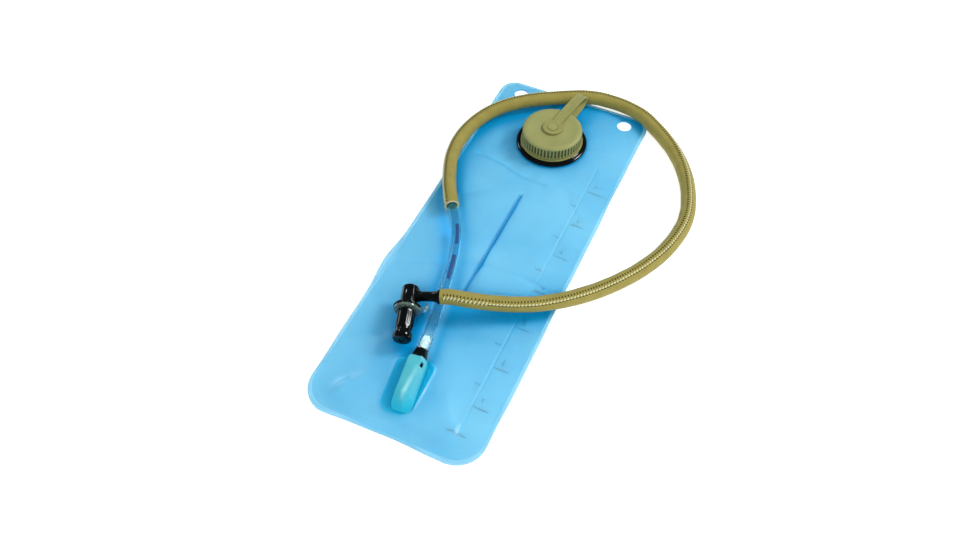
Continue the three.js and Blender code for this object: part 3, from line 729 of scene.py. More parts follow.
# A point in the outlet's own frame, its mouth at the origin and the hose along +Y.
def inOutlet(x, y):
    turn = math.radians(outlet["heading"])
    dx, dy = x - outletPlace.translation.x, y - outletPlace.translation.y
    return dx * math.cos(turn) + dy * math.sin(turn), dy * math.cos(turn) - dx * math.sin(turn)


# The flange narrows and leans a little towards the tail.
def baseMiddle(v):
    share = -v / outlet["length"]
    first, last = outlet["baseFirst"], outlet["baseLast"]
    return [a + (b - a) * share for a, b in zip(first, last)]


def fromBase(x, y):
    u, v = inOutlet(x, y)
    half = outlet["baseWidth"] / 2
    middle, wide = baseMiddle(v)
    u = (u - middle) / wide * half
    return -insideOf(
        u, v, -half, half, outlet["baseAhead"] - outlet["baseLength"], outlet["baseAhead"],
        outlet["baseTopCorner"], outlet["baseBottomCorner"])[0]


# How far points are from a line through a few places.
def nearLine(x, y, dots):
    best = np.full(np.shape(x), 1e9)
    for (ax, ay), (bx, by) in zip(dots, dots[1:]):
        length = math.hypot(bx - ax, by - ay)
        t = np.clip(((x - ax) * (bx - ax) + (y - ay) * (by - ay)) / length ** 2, 0, 1)
        best = np.minimum(best, np.hypot(x - ax - t * (bx - ax), y - ay - t * (by - ay)))
    return best


scaleLine = [(55.4, 132), (55.4, -194)]

# Each groove has a sharp middle and may have a shallow apron beside it.
baffleGroove = {"dots": [(0, 66), (-1, -24), (-2, -65)], "depth": 0.8, "width": 2.2, "apron": 0.7,
    "apronWidth": 6.5}
scaleGroove = {"dots": scaleLine, "depth": 0.3, "width": 0.9}
longFolds = [
    {
        "dots": [(-80, -58), (-40, -44), (0, -29), (40, -26), (72, -30)],
        "depth": 0.5, "width": 2.2, "apron": 0.6, "apronWidth": 10.0,
    },
    {
        "dots": [(-64, 103), (-46, 101), (-31, 98), (-12, 91), (16, 89)],
        "depth": 1.0, "width": 1.8, "apron": 0.5, "apronWidth": 7.0,
    },
]
shortFold = {"depth": 0.25, "width": 3.0, "apron": 0.5, "apronWidth": 9.0}
shortFolds = [
    [(-70, -96), (-30, -112)],
    [(24, -104), (66, -92)],
    [(20, -168), (60, -150)],
    [(-66, 34), (-34, 60)],
    [(-72, -150), (-46, -134)],
    [(62, 60), (38, 90)],
]


def groove(x, y, dots, depth, width, apron=0.0, apronWidth=8.0):
    away = nearLine(x, y, dots)
    return depth * np.exp(-(away / width) ** 2) + apron * np.exp(-(away / apronWidth) ** 2)


# The front film's top over a point.
def filmTop(x, y):
    x, y = np.asarray(x, float), np.asarray(y, float)
    rim, high = film["rim"], frontHigh.z
    weld = fromWeld(x, y)
    started = np.sqrt(np.maximum(weld, 0) ** 2 + 90) - math.sqrt(90)
    share = 1 - (1 - np.clip(started / film["riseOver"], 0, 1)) ** 2
    top = rim + (high - rim) * share
    neck = np.hypot(x - neckPlace.x, y - neckPlace.y)
    base = fromBase(x, y)
    loose = smoothStep(2, 30, weld) * smoothStep(34, 52, neck) * smoothStep(4, 16, base)
    swell = 0.5 + 0.5 * np.sin(x / 21 + 0.8 * np.sin(y / 37) + 1) * np.cos(y / 49 + 0.9 * np.sin(x / 33))
    small = 0.5 + 0.5 * np.sin(x / 8.3 + 1.7 * np.sin(y / 13)) * np.cos(y / 10.7 + 1.3 * np.sin(x / 17))
    top -= loose * (1.35 * swell + 0.42 * small)
    # The film draws in round the neck's flange in short puckers.
    angle = np.arctan2(y - neckPlace.y, x - neckPlace.x)
    pucker = 0.5 + 0.5 * np.cos(13 * angle + 2.2 * np.sin(3 * angle))
    top -= 0.5 * pucker * smoothStep(35, 42, neck) * (1 - smoothStep(48, 70, neck)) * smoothStep(0, 14, weld)
    # Grooves, folds and the scale's line.
    inner = smoothStep(0, 8, weld)
    top -= groove(x, y, **baffleGroove)
    for fold in longFolds:
        top -= inner * groove(x, y, **fold)
    for dots in shortFolds:
        top -= inner * groove(x, y, dots, **shortFold)
    top -= groove(x, y, **scaleGroove)
    # The outlet's flange shows through as a raised outline with a hollow round it.
    top += 0.6 * np.exp(-((base - 0.3) / 0.6) ** 2)
    top -= 0.8 * smoothStep(0.8, 4, base) * (1 - smoothStep(5, 22, base)) * smoothStep(0, 12, weld)
    # The weld's pressed lines, and the film's rounded edge.
    edge = fromEdge(x, y)
    top -= 0.26 * np.exp(-((edge - film["weldLine"]) / 0.5) ** 2)
    top -= 0.1 * np.exp(-((weld + 0.2) / 0.6) ** 2)
    top -= 0.3 * np.exp(-(edge / 0.5) ** 2)
    return np.maximum(top, rim - 0.35)


def ring(left, right, bottom, top, topRadius, bottomRadius, inside, step):
    left, right, bottom, top = left + inside, right - inside, bottom + inside, top - inside
    topRadius, bottomRadius = max(topRadius - inside, 0.6), max(bottomRadius - inside, 0.6)
    corners = [
        (right - topRadius, top - topRadius, topRadius, 0), (left + topRadius, top - topRadius, topRadius, 90),
        (left + bottomRadius, bottom + bottomRadius, bottomRadius, 180),
        (right - bottomRadius, bottom + bottomRadius, bottomRadius, 270)]
    corners = [(cx, cy, r, start, max(3, math.ceil(r * math.pi / 2 / step))) for cx, cy, r, start in corners]
    dots = []
    for cx, cy, r, start, count in corners:
        for k in range(count + 1):
            angle = math.radians(start + 90 * k / count)
            dots.append((cx + r * math.cos(angle), cy + r * math.sin(angle)))
    out = []
    for (ax, ay), (bx, by) in zip(dots, dots[1:] + dots[:1]):
        count = max(1, round(math.hypot(bx - ax, by - ay) / step))
        out += [(ax + (bx - ax) * k / count, ay + (by - ay) * k / count) for k in range(count)]
    return out


def circle(x, y, radius, count):
    angles = [2 * math.pi * k / count for k in range(count)]
    return [(x + radius * math.cos(a), y + radius * math.sin(a)) for a in angles]


def edgeRing(inside, step=2.0):
    return ring(pouchLow.x, pouchHigh.x, pouchLow.y, pouchHigh.y, film["topCorner"], film["bottomCorner"], inside,
        step)


def weldRing(inside, step=2.0):
    side = film["sideWeld"]
    return ring(
        pouchLow.x + side, pouchHigh.x - side, pouchLow.y + film["bottomWeld"], pouchHigh.y - film["topWeld"],
        film["shoulder"], film["bottomCorner"], inside, step)


def portRing(grow, step=1.5):
    half = outlet["width"] / 2 + grow
    dots = ring(-half, half, -outlet["length"] - grow, grow, 1.5, outlet["tailCorner"] + grow, 0, step)
    return [tuple((outletPlace @ Vector((u, v, 0))).xy) for u, v in dots]


def baseRing(grow, step=1.5):
    half = outlet["baseWidth"] / 2
    dots = ring(
        -half, half, outlet["baseAhead"] - outlet["baseLength"], outlet["baseAhead"],
        outlet["baseTopCorner"], outlet["baseBottomCorner"], -grow, step)
    leaned = [(baseMiddle(v)[0] + u / half * baseMiddle(v)[1], v) for u, v in dots]
    return [tuple((outletPlace @ Vector((u, v, 0))).xy) for u, v in leaned]


def hangHoles(radius):
    side, top = film["holeFromSide"], pouchHigh.y - film["holeFromTop"]
    return [circle(x, top, radius, 56) for x in (pouchLow.x + side, pouchHigh.x - side)]


# One film: a plan with its holes, triangulated, then given its top and its underside.
def filmShape(holes, rings, top, under):
    loops = [edgeRing(0)] + holes
    fine = sorted({*np.arange(pouchLow.x, pouchHigh.x, film["step"]), *np.arange(-5, 3.6, 0.6)}
                  | {scaleLine[0][0] + d for d in (-1.6, -1, -0.5, 0, 0.5, 1, 1.6)})
    x, y = np.meshgrid(np.array(fine), np.arange(pouchLow.y, pouchHigh.y, film["step"]))
    x, y = x.ravel(), y.ravel()
    keep = fromEdge(x, y) > 1.0
    blocked = []
    for loop in loops[1:] + rings:
        blocked += loop
    cell = 0.9
    taken = {(round(px / cell), round(py / cell)) for px, py in blocked}
    free = [
        (px, py) for px, py in zip(x[keep], y[keep])
        if not any((round(px / cell) + i, round(py / cell) + j) in taken for i in (-1, 0, 1) for j in (-1, 0, 1))]
    dots, sides = [], []
    for loop in loops:
        first = len(dots)
        dots += loop
        sides += [(first + k, first + (k + 1) % len(loop)) for k in range(len(loop))]
    for line in rings:
        dots += line
    dots += free
    found = delaunay_2d_cdt([Vector(d) for d in dots], sides, [], 1, 1e-5)
    plan = np.array([tuple(p) for p in found[0]])
    faces = np.array([list(face) for face in found[2]])
    middle = plan[faces].mean(axis=1)
    keep = fromEdge(middle[:, 0], middle[:, 1]) > 0
    for hole in loops[1:]:
        keep &= ~inLoop(middle, np.array(hole))
    faces = faces[keep]
    a, b, c = (plan[faces[:, i]] for i in range(3))
    turn = (b[:, 0] - a[:, 0]) * (c[:, 1] - a[:, 1]) - (b[:, 1] - a[:, 1]) * (c[:, 0] - a[:, 0])
    faces[turn < 0] = faces[turn < 0][:, ::-1]
    used, faces = np.unique(faces, return_inverse=True)
    faces = faces.reshape(-1, 3)
    plan = plan[used]
    count = len(plan)
    x, y = plan[:, 0], plan[:, 1]
    spread, along = folded(x, y), rippled(x, y)
    high = np.stack([spread, along, top(x, y)], axis=1)
    low = np.stack([spread, along, under(x, y)], axis=1)
    directed = {(int(p), int(q)) for f in faces for p, q in ((f[0], f[1]), (f[1], f[2]), (f[2], f[0]))}
    walls = [[p, p + count, q + count, q] for p, q in directed if (q, p) not in directed]
    shells = [list(map(int, f)) for f in faces] + [[int(i) + count for i in f[::-1]] for f in faces]
    return [tuple(p) for p in np.concatenate([high, low])], shells + walls


def inLoop(points, loop):
    inside = np.zeros(len(points), bool)
    for (ax, ay), (bx, by) in zip(loop, np.roll(loop, -1, axis=0)):
        crosses = (ay > points[:, 1]) != (by > points[:, 1])
        where = ax + (points[:, 1] - ay) / (by - ay if by != ay else 1e-9) * (bx - ax)
        inside ^= crosses & (points[:, 0] < where)
    return inside


# The left edge stands out where the film was folded across, and no edge is quite straight.
def folded(x, y):
    reach = np.exp(-((y - film["bulgeAt"]) / film["bulgeReach"]) ** 2)
    waves = 0.35 * np.sin(y / 23) + 0.2 * np.sin(y / 11 + 2)
    out = film["bulge"] * reach * smoothStep(40, 82, -x)
    return x - out + waves * smoothStep(60, 82, np.abs(x)) * np.sign(x)


def rippled(x, y):
    return y + (1.1 * np.sin((x + 34) / 23) + 0.2 * np.sin(x / 8)) * smoothStep(180, 219, -y)


# Blown TPU film, tinted blue: smooth and faintly glossy. Where other parts close in round it, its colour is
# painted a deeper blue by ambient occlusion, as painted shade, and its edge and weld line are painted paler, as a
# painted highlight.
def blownFilm(name):
    material, shader, place = newMaterial(name, {
        "Coat Weight": 0.2, "Coat Roughness": 0.18, "IOR": 1.45, "Specular IOR Level": 0.5,
        "Subsurface Weight": 0.7, "Subsurface Scale": 0.014, "Subsurface Radius": (0.1, 0.75, 1.0),
    })
    shader.subsurface_method = "BURLEY"
    cloud = addNode(material, "TexNoise", {"Vector": place, "Scale": perMetre(70.0), "Detail": 3.0})
    edge, base, under = (
        addNode(material, "Attribute", {}, "Fac", attribute_name=key) for key in ("edge", "base", "under"))
    clouded = addNode(material, "MapRange", {0: cloud, 1: 0.3, 2: 0.7, 3: 0.0, 4: 1.0})
    tint = addNode(material, "Mix", {0: clouded, 6: linear("#69bbe1"), 7: linear("#7cc8e7")}, 2, data_type="RGBA")
    # Painted shade: the colour turns a deeper blue where ambient occlusion finds other parts close by.
    open_ = addNode(material, "AmbientOcclusion", {"Distance": 60 * mm}, "AO", samples=16)
    filmShadeShare = addNode(material, "MapRange", {0: open_, 1: 0.66, 2: 0.98, 3: 1.0, 4: 0.0})
    # The painted shade is held back on the film under the clear tube's first stretch, by the 'under' share.
    lit = addNode(material, "Math", {0: 1.0, 1: under}, operation="SUBTRACT")
    filmShadeShare = addNode(material, "Math", {0: filmShadeShare, 1: lit}, operation="MULTIPLY")
    filmShadedTint = addNode(material, "Mix", {0: filmShadeShare, 6: tint, 7: linear("#0094d0")}, 2, data_type="RGBA")
    # Painted highlight: the film's edge and its weld line are painted paler.
    filmEdgeHighlighted = addNode(material, "Mix", {0: edge, 6: filmShadedTint, 7: linear("#9fdcf8")}, 2, data_type="RGBA")
    based = addNode(material, "Mix", {0: base, 6: filmEdgeHighlighted, 7: linear("#04a9d6")}, 2, data_type="RGBA")
    feed(material, shader, "Base Color", based)
    feed(material, shader, "Roughness",
        addNode(material, "MapRange", {0: cloud, 1: 0.3, 2: 0.7, 3: 0.3, 4: 0.42}))
    skin = addNode(material, "TexNoise", {"Vector": place, "Scale": perMetre(5.0), "Detail": 2.0})
    feed(material, shader, "Normal",
        addNode(material, "Bump", {"Height": skin, "Distance": 0.12 * mm, "Strength": 0.35}))
    return material


def addFilms():
    blue = blownFilm("blownFilm")
    holes = hangHoles(film["holeRadius"])
    neckHole = circle(neckPlace.x, neckPlace.y, film["neckHole"], 110)
    portHole = portRing(0.15)
    rings = [edgeRing(film["weldLine"] + d) for d in (-0.9, -0.4, 0, 0.4, 0.9)]
    rings += [weldRing(d) for d in (-0.7, -0.2, 0.3, 1.6)]
    rings += [baseRing(d) for d in (-1.0, 0.0, 0.8, 1.6, 2.8)]
    rings.append(edgeRing(0.7))
    front = filmShape(holes + [neckHole, portHole], rings, filmTop, lambda x, y: filmTop(x, y) - film["thick"])
    backTop = film["rim"] - film["thick"] - 0.06
    back = filmShape(holes, [edgeRing(0.7)], lambda x, y: backTop + 0 * x, lambda x, y: 0 * x)
    for name, shape, node in (("film_front", front, "front_film"), ("film_back", back, "back_film")):
        piece = addPiece(name, shape, blue, "reservoir", [node], sharp=50)
        points = np.array(shape[0])
        # edge: where the painted highlight lies, at the film's edge and along its weld line.
        edge = np.maximum(fromEdge(points[:, 0], points[:, 1]), 0)
        edge = 0.8 * np.exp(-(edge / 1.1) ** 2) + 0.75 * np.exp(-((edge - film["weldLine"] + 1.1) / 0.7) ** 2)
        base = fromBase(points[:, 0], points[:, 1])
        base = 0.75 - 0.75 * smoothStep(-0.5, 1.2, base) + 0.25 * (1 - smoothStep(1.5, 6, base))
        base *= smoothStep(-16, -4, inOutlet(points[:, 0], points[:, 1])[0]) * 0.2 + 0.8
        # under: the share by which the painted shade is held back, along the clear tube's first stretch.
        under = nearLine(points[:, 0], points[:, 1], [p[:2] for p in route[:10]])
        if node == "back_film":
            base = base * 0
        under = 0.6 - 0.6 * smoothStep(4, 12, under)
        for key, values in (("edge", edge), ("base", base), ("under", under)):
            layer = piece.data.attributes.new(key, "FLOAT", "POINT")
            layer.data.foreach_set("value", values.astype(np.float32))
    return blue


filmBlue = addFilms()
print("films made")


# The scale pressed into the film.

scale = {
    "ticks": [100, 54, 11, -34, -78, -124, -166],
    "numbers": ["7", "6", "5", "4", "3", "2", "1"],
    "tickLength": 13.0,
    "tickWidth": 1.1,
    "shortLength": 6.0,
    "figure": 9.0,
    "proud": 0.1,
}


def laidOnFilm(points):
    points = np.array(points, float)
    points[:, 2] += filmTop(points[:, 0], points[:, 1])
    return [tuple(p) for p in points]


def barOnFilm(x, y, length, width):
    count = max(2, round(length / 1.5))
    rings = []
    for k in range(count + 1):
        px = x + length * k / count
        section = eased([(-width / 2, -0.3), (width / 2, -0.3), (width / 2, scale["proud"]),
            (-width / 2, scale["proud"])], 0.25)
        rings.append([(px, y + v, z) for v, z in section])
    points, faces = lofted(rings)
    return laidOnFilm(points), faces


def figureOnFilm(text, x, y):
    data = bpy.data.curves.new("figure", "FONT")
    data.body = text
    data.size = scale["figure"] * mm
    data.extrude = 0.5 * (scale["proud"] + 0.3) * mm
    data.align_x = "LEFT"
    data.align_y = "CENTER"
    writing = bpy.data.objects.new("figure", data)
    bpy.context.scene.collection.objects.link(writing)
    bpy.context.view_layer.update()
    mesh = bpy.data.meshes.new_from_object(writing.evaluated_get(bpy.context.evaluated_depsgraph_get()))
    points = [(v.co.x / mm + x, v.co.y / mm + y, v.co.z / mm + 0.5 * (scale["proud"] - 0.3))
        for v in mesh.vertices]
    faces = [list(p.vertices) for p in mesh.polygons]
    bpy.data.objects.remove(writing)
    bpy.data.meshes.remove(mesh)
    level = float(filmTop(x + 3, y))
    return [(px, py, pz + level) for px, py, pz in points], faces


def addScale():
    shapes = []
    line = scaleLine[0][0]
    for k, (y, text) in enumerate(zip(scale["ticks"], scale["numbers"])):
        shapes.append(barOnFilm(line + 1.6, y, scale["tickLength"], scale["tickWidth"]))
        shapes.append(figureOnFilm(text, line + 4.0, y + 7.0))
        if k + 1 < len(scale["ticks"]):
            middle = (y + scale["ticks"][k + 1]) / 2
            shapes.append(barOnFilm(line - 1.6 - scale["shortLength"], middle, scale["shortLength"],
                scale["tickWidth"]))
    shapes.append(barOnFilm(line - 9, scaleLine[1][1] - 1, 17, 1.4))
    return addPiece("film_scale", joined(*shapes), filmBlue, "reservoir", sharp=30)


addScale()
print("scale made")


# The filling neck, its collar and the cap.

def level(node):
    low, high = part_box(node)
    return low.z / mm, high.z / mm


neckTrans = Matrix.Translation((neckPlace.x, neckPlace.y, 0))
collarLow, collarHigh = level("neck_collar")
ringLow, ringHigh = level("tether_ring")
capLow, capHigh = level("cap_shell")
hubLow, hubHigh = level("tether_hub")
neckHigh = level("fill_neck")[1]
studHigh = level("cap_stud")[1]


def radiusOf(node):
    low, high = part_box(node)
    return (high.x - low.x) / mm / 2


neckShape = {
    "bore": 21.5,
    "outside": 25.0,
    "flangeLow": 4.3,
    "flangeHigh": 5.6,
    "threadPitch": 6.0,
    "threadDepth": 1.6,
    "threadStart": 13.6,
    "threadTurns": 1.25,
}

capShape = {
    "threadStart": 13.64,
    "threadTurns": 1.16,
    "threadAngle": -3.1,
    "bore": 27.2,
    "ceiling": 24.3,
    "band": 2.0,
    "shoulder": 2.6,
    "ribs": 54,
    "slotDepth": 2.3,
}


# A thread's ridge about Z, with ends that taper away.
def threadShape(root, crest, start, turns, pitch, startAngle=0.0):
    steps = round(turns * 72)
    rings = []
    for k in range(steps + 1):
        share = k / steps
        angle = startAngle + 2 * math.pi * turns * share
        height = start + pitch * turns * share
        grown = float(smoothStep(0, 0.06, share) * (1 - smoothStep(0.94, 1, share)))
        tip = root + (crest - root) * max(grown, 0.02)
        section = eased([(root, height - 1.1), (tip, height - 0.5), (tip, height + 0.5), (root, height + 1.1)],
            0.3)
        rings.append([(r * math.cos(angle), r * math.sin(angle), z) for r, z in section])
    points, faces = lofted(rings)
    if crest > root:
        faces = [face[::-1] for face in faces]
    return points, faces


# Injection-moulded black polypropylene: deep, glossy, with a slightly uneven skin.
def glossyBlack():
    values = {"IOR": 1.45, "Specular IOR Level": 0.5}
    return mottled("glossyBlackPolypropylene", values, 6.0, "#020303", "#050607", (0.07, 0.16), (0.02, 0.1))


# Injection-moulded polypropylene in khaki, from a spark-eroded mould: a soft satin with a fine even grain.
def satinKhaki():
    material, shader, place = newMaterial("satinKhakiPolypropylene", {"IOR": 1.49, "Specular IOR Level": 0.45})
    flow = addNode(material, "TexNoise", {"Vector": place, "Scale": perMetre(16.0), "Detail": 3.0})
    grain = addNode(material, "TexNoise", {"Vector": place, "Scale": perMetre(0.45), "Detail": 2.0})
    dye = addNode(material, "Mix", {0: flow, 6: linear("#918d51"), 7: linear("#a29e61")}, 2, data_type="RGBA")
    # Painted shade: the slots between the ribs, where ambient occlusion finds close walls, are painted dark.
    open_ = addNode(material, "AmbientOcclusion", {"Distance": 3 * mm}, "AO", samples=8)
    slotShade = addNode(material, "MapRange", {0: open_, 1: 0.15, 2: 0.6, 3: 1.0, 4: 0.0})
    slotShaded = addNode(material, "Mix", {0: slotShade, 6: dye, 7: linear("#2c2e17")}, 2, data_type="RGBA")
    feed(material, shader, "Base Color", slotShaded)
    feed(material, shader, "Roughness",
        addNode(material, "MapRange", {0: grain, 1: 0.3, 2: 0.7, 3: 0.42, 4: 0.58}))
    feed(material, shader, "Normal",
        addNode(material, "Bump", {"Height": grain, "Distance": 0.05 * mm, "Strength": 0.5}))
    return material


# Moulded thermoplastic elastomer in the same khaki: softer, drier and a little darker where it is rubbed.
def softKhaki():
    material, shader, place = newMaterial("softKhakiElastomer",
        {"IOR": 1.47, "Specular IOR Level": 0.3, "Sheen Weight": 0.1})
    rubbed = addNode(material, "TexNoise", {"Vector": place, "Scale": perMetre(7.0), "Detail": 3.0})
    grain = addNode(material, "TexNoise", {"Vector": place, "Scale": perMetre(0.6), "Detail": 2.0})
    feed(material, shader, "Base Color",
        addNode(material, "Mix", {0: rubbed, 6: linear("#8a8446"), 7: linear("#9f9858")}, 2, data_type="RGBA"))
    feed(material, shader, "Roughness",
        addNode(material, "MapRange", {0: grain, 1: 0.3, 2: 0.7, 3: 0.55, 4: 0.72}))
    feed(material, shader, "Normal",
        addNode(material, "Bump", {"Height": grain, "Distance": 0.06 * mm, "Strength": 0.5}))
    return material


# Moulded silicone rubber: dull black with a trace of dust.
def sealRubber():
    return mottled("siliconeRubber", {"IOR": 1.43}, 1.2, "#17191a", "#2a2d2e", (0.55, 0.8))


black = glossyBlack()
khaki = satinKhaki()
khakiSoft = softKhaki()
rubber = sealRubber()


def addNeck():
    n = neckShape
    body = turned(eased([
        (n["bore"], n["flangeLow"]), (radiusOf("fill_neck"), n["flangeLow"]),
        (radiusOf("fill_neck"), n["flangeHigh"]),
        (n["outside"], n["flangeHigh"]), (n["outside"], neckHigh), (n["bore"], neckHigh)], 0.6), 120)
    ridge = threadShape(
        n["outside"] - 0.3, n["outside"] + n["threadDepth"], n["threadStart"], n["threadTurns"], n["threadPitch"])
    addPiece("neck", joined(body, ridge), black, "reservoir", ["fill_neck"], neckTrans)


# The collar is two soft rolls, the outer one resting on the film.
def addCollar():
    outside = radiusOf("neck_collar")
    inner = neckShape["outside"] + 0.3
    high = collarHigh
    profile = [
        (inner, collarLow), (outside - 1.4, collarLow), (outside - 0.3, collarLow + 0.7),
        (outside, collarLow + 1.7),
        (outside - 0.8, high - 0.6), (outside - 2.2, high), (outside - 3.2, high - 0.35),
        (outside - 3.7, high - 1.0),
        (outside - 4.3, high - 0.4), (outside - 5.2, high - 0.1), (inner, high - 0.1)]
    addPiece("collar", turned(eased(profile, 0.7), 120), black, "reservoir", ["neck_collar"],
        neckTrans)


def addCap():
    c = capShape
    outside = radiusOf("cap_shell")
    low, high = capLow, capHigh
    shoulder = high - c["shoulder"]
    profile = [
        (0, c["ceiling"]), (c["bore"] - 0.8, c["ceiling"]), (c["bore"], c["ceiling"] - 0.8),
        (c["bore"], low + 0.8),
        (c["bore"] + 0.5, low), (outside - 0.5, low), (outside, low + 0.5), (outside, low + c["band"]),
        (outside, low + c["band"] + 0.15, 1), (outside - 0.1, low + c["band"] + 1.2, 1),
        (outside - 0.35, shoulder - 1.4, 1), (outside - 0.4, shoulder - 0.5, 0.8),
        (outside - 0.4, shoulder, 0), (outside - 0.45, shoulder + 0.5), (outside - 0.9, shoulder + 1.4),
        (outside - 1.9, shoulder + 2.15), (outside - 3.4, high - 0.02), (outside - 5.2, high), (24.2, high),
        (23.7, high - 0.16), (16, high - 0.16), (11.2, high - 0.16), (0, high - 0.16)]
    slot = [0, 0, 0, 0, 0, 1, 1, 1, 1, 1]
    relief = [depth * c["slotDepth"] for depth in slot]
    body = turned(profile, c["ribs"] * len(slot), relief)
    ridge = threadShape(c["bore"] + 0.3, neckShape["outside"] + 0.7, c["threadStart"], c["threadTurns"],
        neckShape["threadPitch"], c["threadAngle"])
    addPiece("cap_top", joined(body, ridge), khaki, "cap", ["cap_shell"], neckTrans, sharp=50)


def addTether():
    hub = radiusOf("tether_hub")
    ringOut = radiusOf("tether_ring")
    bore = neckShape["outside"] + 0.3
    hubProfile = eased([
        (3.5, hubLow), (hub, hubLow), (hub, hubHigh - 0.1), (hub - 1.2, hubHigh + 0.1), (5.4, hubHigh),
        (5.4, hubHigh - 1.2),
        (3.5, hubHigh - 1.2)], 0.35)
    addPiece("hub", turned(hubProfile, 96), khakiSoft, "cap_carrier", ["tether_hub"], neckTrans)
    studProfile = eased([
        (0, capHigh - 1.2), (2.4, capHigh - 1.2), (2.4, capHigh + 0.3), (3.2, capHigh + 0.3),
        (3.2, hubHigh - 0.9),
        (5.1, hubHigh - 0.9), (5.1, studHigh), (4.3, studHigh + 0.12), (0, studHigh)], 0.3, closed=False)
    addPiece("stud", turned(studProfile, 72), khaki, "cap", ["cap_stud"], neckTrans)
    ringProfile = eased([(bore, ringLow), (ringOut, ringLow), (ringOut, ringHigh), (bore, ringHigh)], 0.4)
    addPiece("ring", turned(ringProfile, 120), khakiSoft, "reservoir", ["tether_ring"], neckTrans)


strap = {
    "width": 10.0,
    "thick": 1.7,
    "reach": 66.0,
    "heading": -8.5,
    "ribWidth": 1.3,  # a raised border down each side
    "ribHeight": 0.35,
}


# The strap leaves the hub, folds beyond the cap and comes back under it to the ring.
def addStrap():
    upper = capHigh + 0.3 + strap["thick"] / 2
    lower = ringLow + strap["thick"] / 2
    reach = strap["reach"]
    dots = [
        (radiusOf("tether_hub") - 1.2, upper), (radiusOf("cap_shell"), upper + 0.2), (reach - 14, upper - 1.6),
        (reach - 4, upper - 4.6), (reach - 1, (upper + lower) / 2), (reach - 6, lower + 2.6),
        (radiusOf("neck_collar") + 8, lower + 0.5), (radiusOf("tether_ring") + 2, lower),
        (radiusOf("tether_ring") - 0.8, lower - 0.1)]
    _, line = smoothRoute([(x, z, 0) for x, z in dots], 1.0)
    half, thick = strap["width"] / 2, strap["thick"] / 2
    rib, proud = strap["ribWidth"], strap["ribHeight"]
    section = eased([
        (-half, -thick), (half, -thick), (half, thick + proud), (half - rib, thick + proud),
        (half - rib - 0.4, thick),
        (-half + rib + 0.4, thick), (-half + rib, thick + proud), (-half, thick + proud)], 0.35)
    place = neckTrans @ Matrix.Rotation(math.radians(90 + strap["heading"]), 4, "Z")
    piece = addPiece("strap", swept(line, section), khakiSoft, None, ["tether_strap"], place)
    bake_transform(piece)


addNeck()
addCollar()
addCap()
addTether()
addStrap()
print("neck, cap and tether made")


# The outlet and the plug in it.

port = {
    "low": 3.0,
    "crown": 23.2,
    "edgeAt": 35.0,  # where the top facet ends and the front slope starts
    "edgeCrown": 20.6,
    "tail": 7.6,
    "ridge": (5.4, 0.9),  # the facet's right edge, at the mouth and at its end
    "left": (-6.4, -7.6),
    "rightWall": (17.4, 8.6),
    "leftWall": (17.4, 12.5),
    "facetFall": 1.6,
    "socket": 5.5,
    "socketDepth": 22.0,
    "easing": 1.1,
    "window": (3.4, 4.6),
    "windowAt": 6.6,
}

plug = {
    "collarStart": 0.3,
    "collarEnd": 10.5,
    "wide": 7.4,
    "narrow": 5.5,
    "barbEnd": 25.0,
    "barb": 4.05,
    "valley": 2.8,
}


# Moulded, tinted polycarbonate: clear enough to take in light, with a cool aqua body and crisp highlights.
def tintedPolycarbonate():
    material, shader, place = newMaterial("tintedPolycarbonate", {
        "IOR": 1.5, "Subsurface Weight": 0.45, "Subsurface Scale": 0.006, "Subsurface Radius": (0.35, 0.9, 1.0),
        "Coat Weight": 0.2, "Coat Roughness": 0.12,
    })
    depth = addNode(material, "TexNoise", {"Vector": place, "Scale": perMetre(12.0), "Detail": 3.0})
    # Painted light: the crown is painted paler and greyer than the walls, by height, and the walls a deeper aqua
    # as painted shade.
    height = addNode(material, "SeparateXYZ", {"Vector": place}, "Z")
    crownLightShare = addNode(material, "MapRange", {0: height, 1: 0.009, 2: 0.021, 3: 0.0, 4: 1.0})
    walls = addNode(material, "Mix", {0: depth, 6: linear("#14abce"), 7: linear("#30bcd6")}, 2, data_type="RGBA")
    crown = addNode(material, "Mix", {0: depth, 6: linear("#45afbe"), 7: linear("#64c4cc")}, 2, data_type="RGBA")
    body = addNode(material, "Mix", {0: crownLightShare, 6: walls, 7: crown}, 2, data_type="RGBA")
    # A painted highlight runs pale along the ridge beside its top facet.
    turn = (0, 0, math.radians(outlet["heading"]))
    local = {"Vector": place, "Location": tuple(outletPlace.translation * mm), "Rotation": turn}
    local = addNode(material, "Mapping", local, "Vector", vector_type="TEXTURE")
    across = addNode(material, "SeparateXYZ", {"Vector": local}, "X")
    along = addNode(material, "SeparateXYZ", {"Vector": local}, "Y")
    lean = (port["ridge"][1] - port["ridge"][0]) / port["edgeAt"]
    off = addNode(material, "Math", {0: along, 1: lean, 2: across}, operation="MULTIPLY_ADD")
    off = addNode(material, "Math", {0: off, 1: (port["ridge"][0] - 1.2) * mm}, operation="SUBTRACT")
    off = addNode(material, "Math", {0: off}, operation="ABSOLUTE")
    near = addNode(material, "MapRange", {0: off, 1: 0.0, 2: 2.6 * mm, 3: 0.6, 4: 0.0})
    began = addNode(material, "MapRange", {0: along, 1: -30 * mm, 2: -6 * mm, 3: 1.0, 4: 0.0})
    ended = addNode(material, "MapRange", {0: along, 1: -41 * mm, 2: -34 * mm, 3: 0.0, 4: 1.0})
    ridgeHighlight = addNode(material, "Math", {0: near, 1: began}, operation="MULTIPLY")
    ridgeHighlight = addNode(material, "Math", {0: ridgeHighlight, 1: ended}, operation="MULTIPLY")
    feed(material, shader, "Base Color",
        addNode(material, "Mix", {0: ridgeHighlight, 6: body, 7: linear("#c9eef0")}, 2, data_type="RGBA"))
    feed(material, shader, "Roughness",
        addNode(material, "MapRange", {0: depth, 1: 0.3, 2: 0.7, 3: 0.14, 4: 0.26}))
    return material


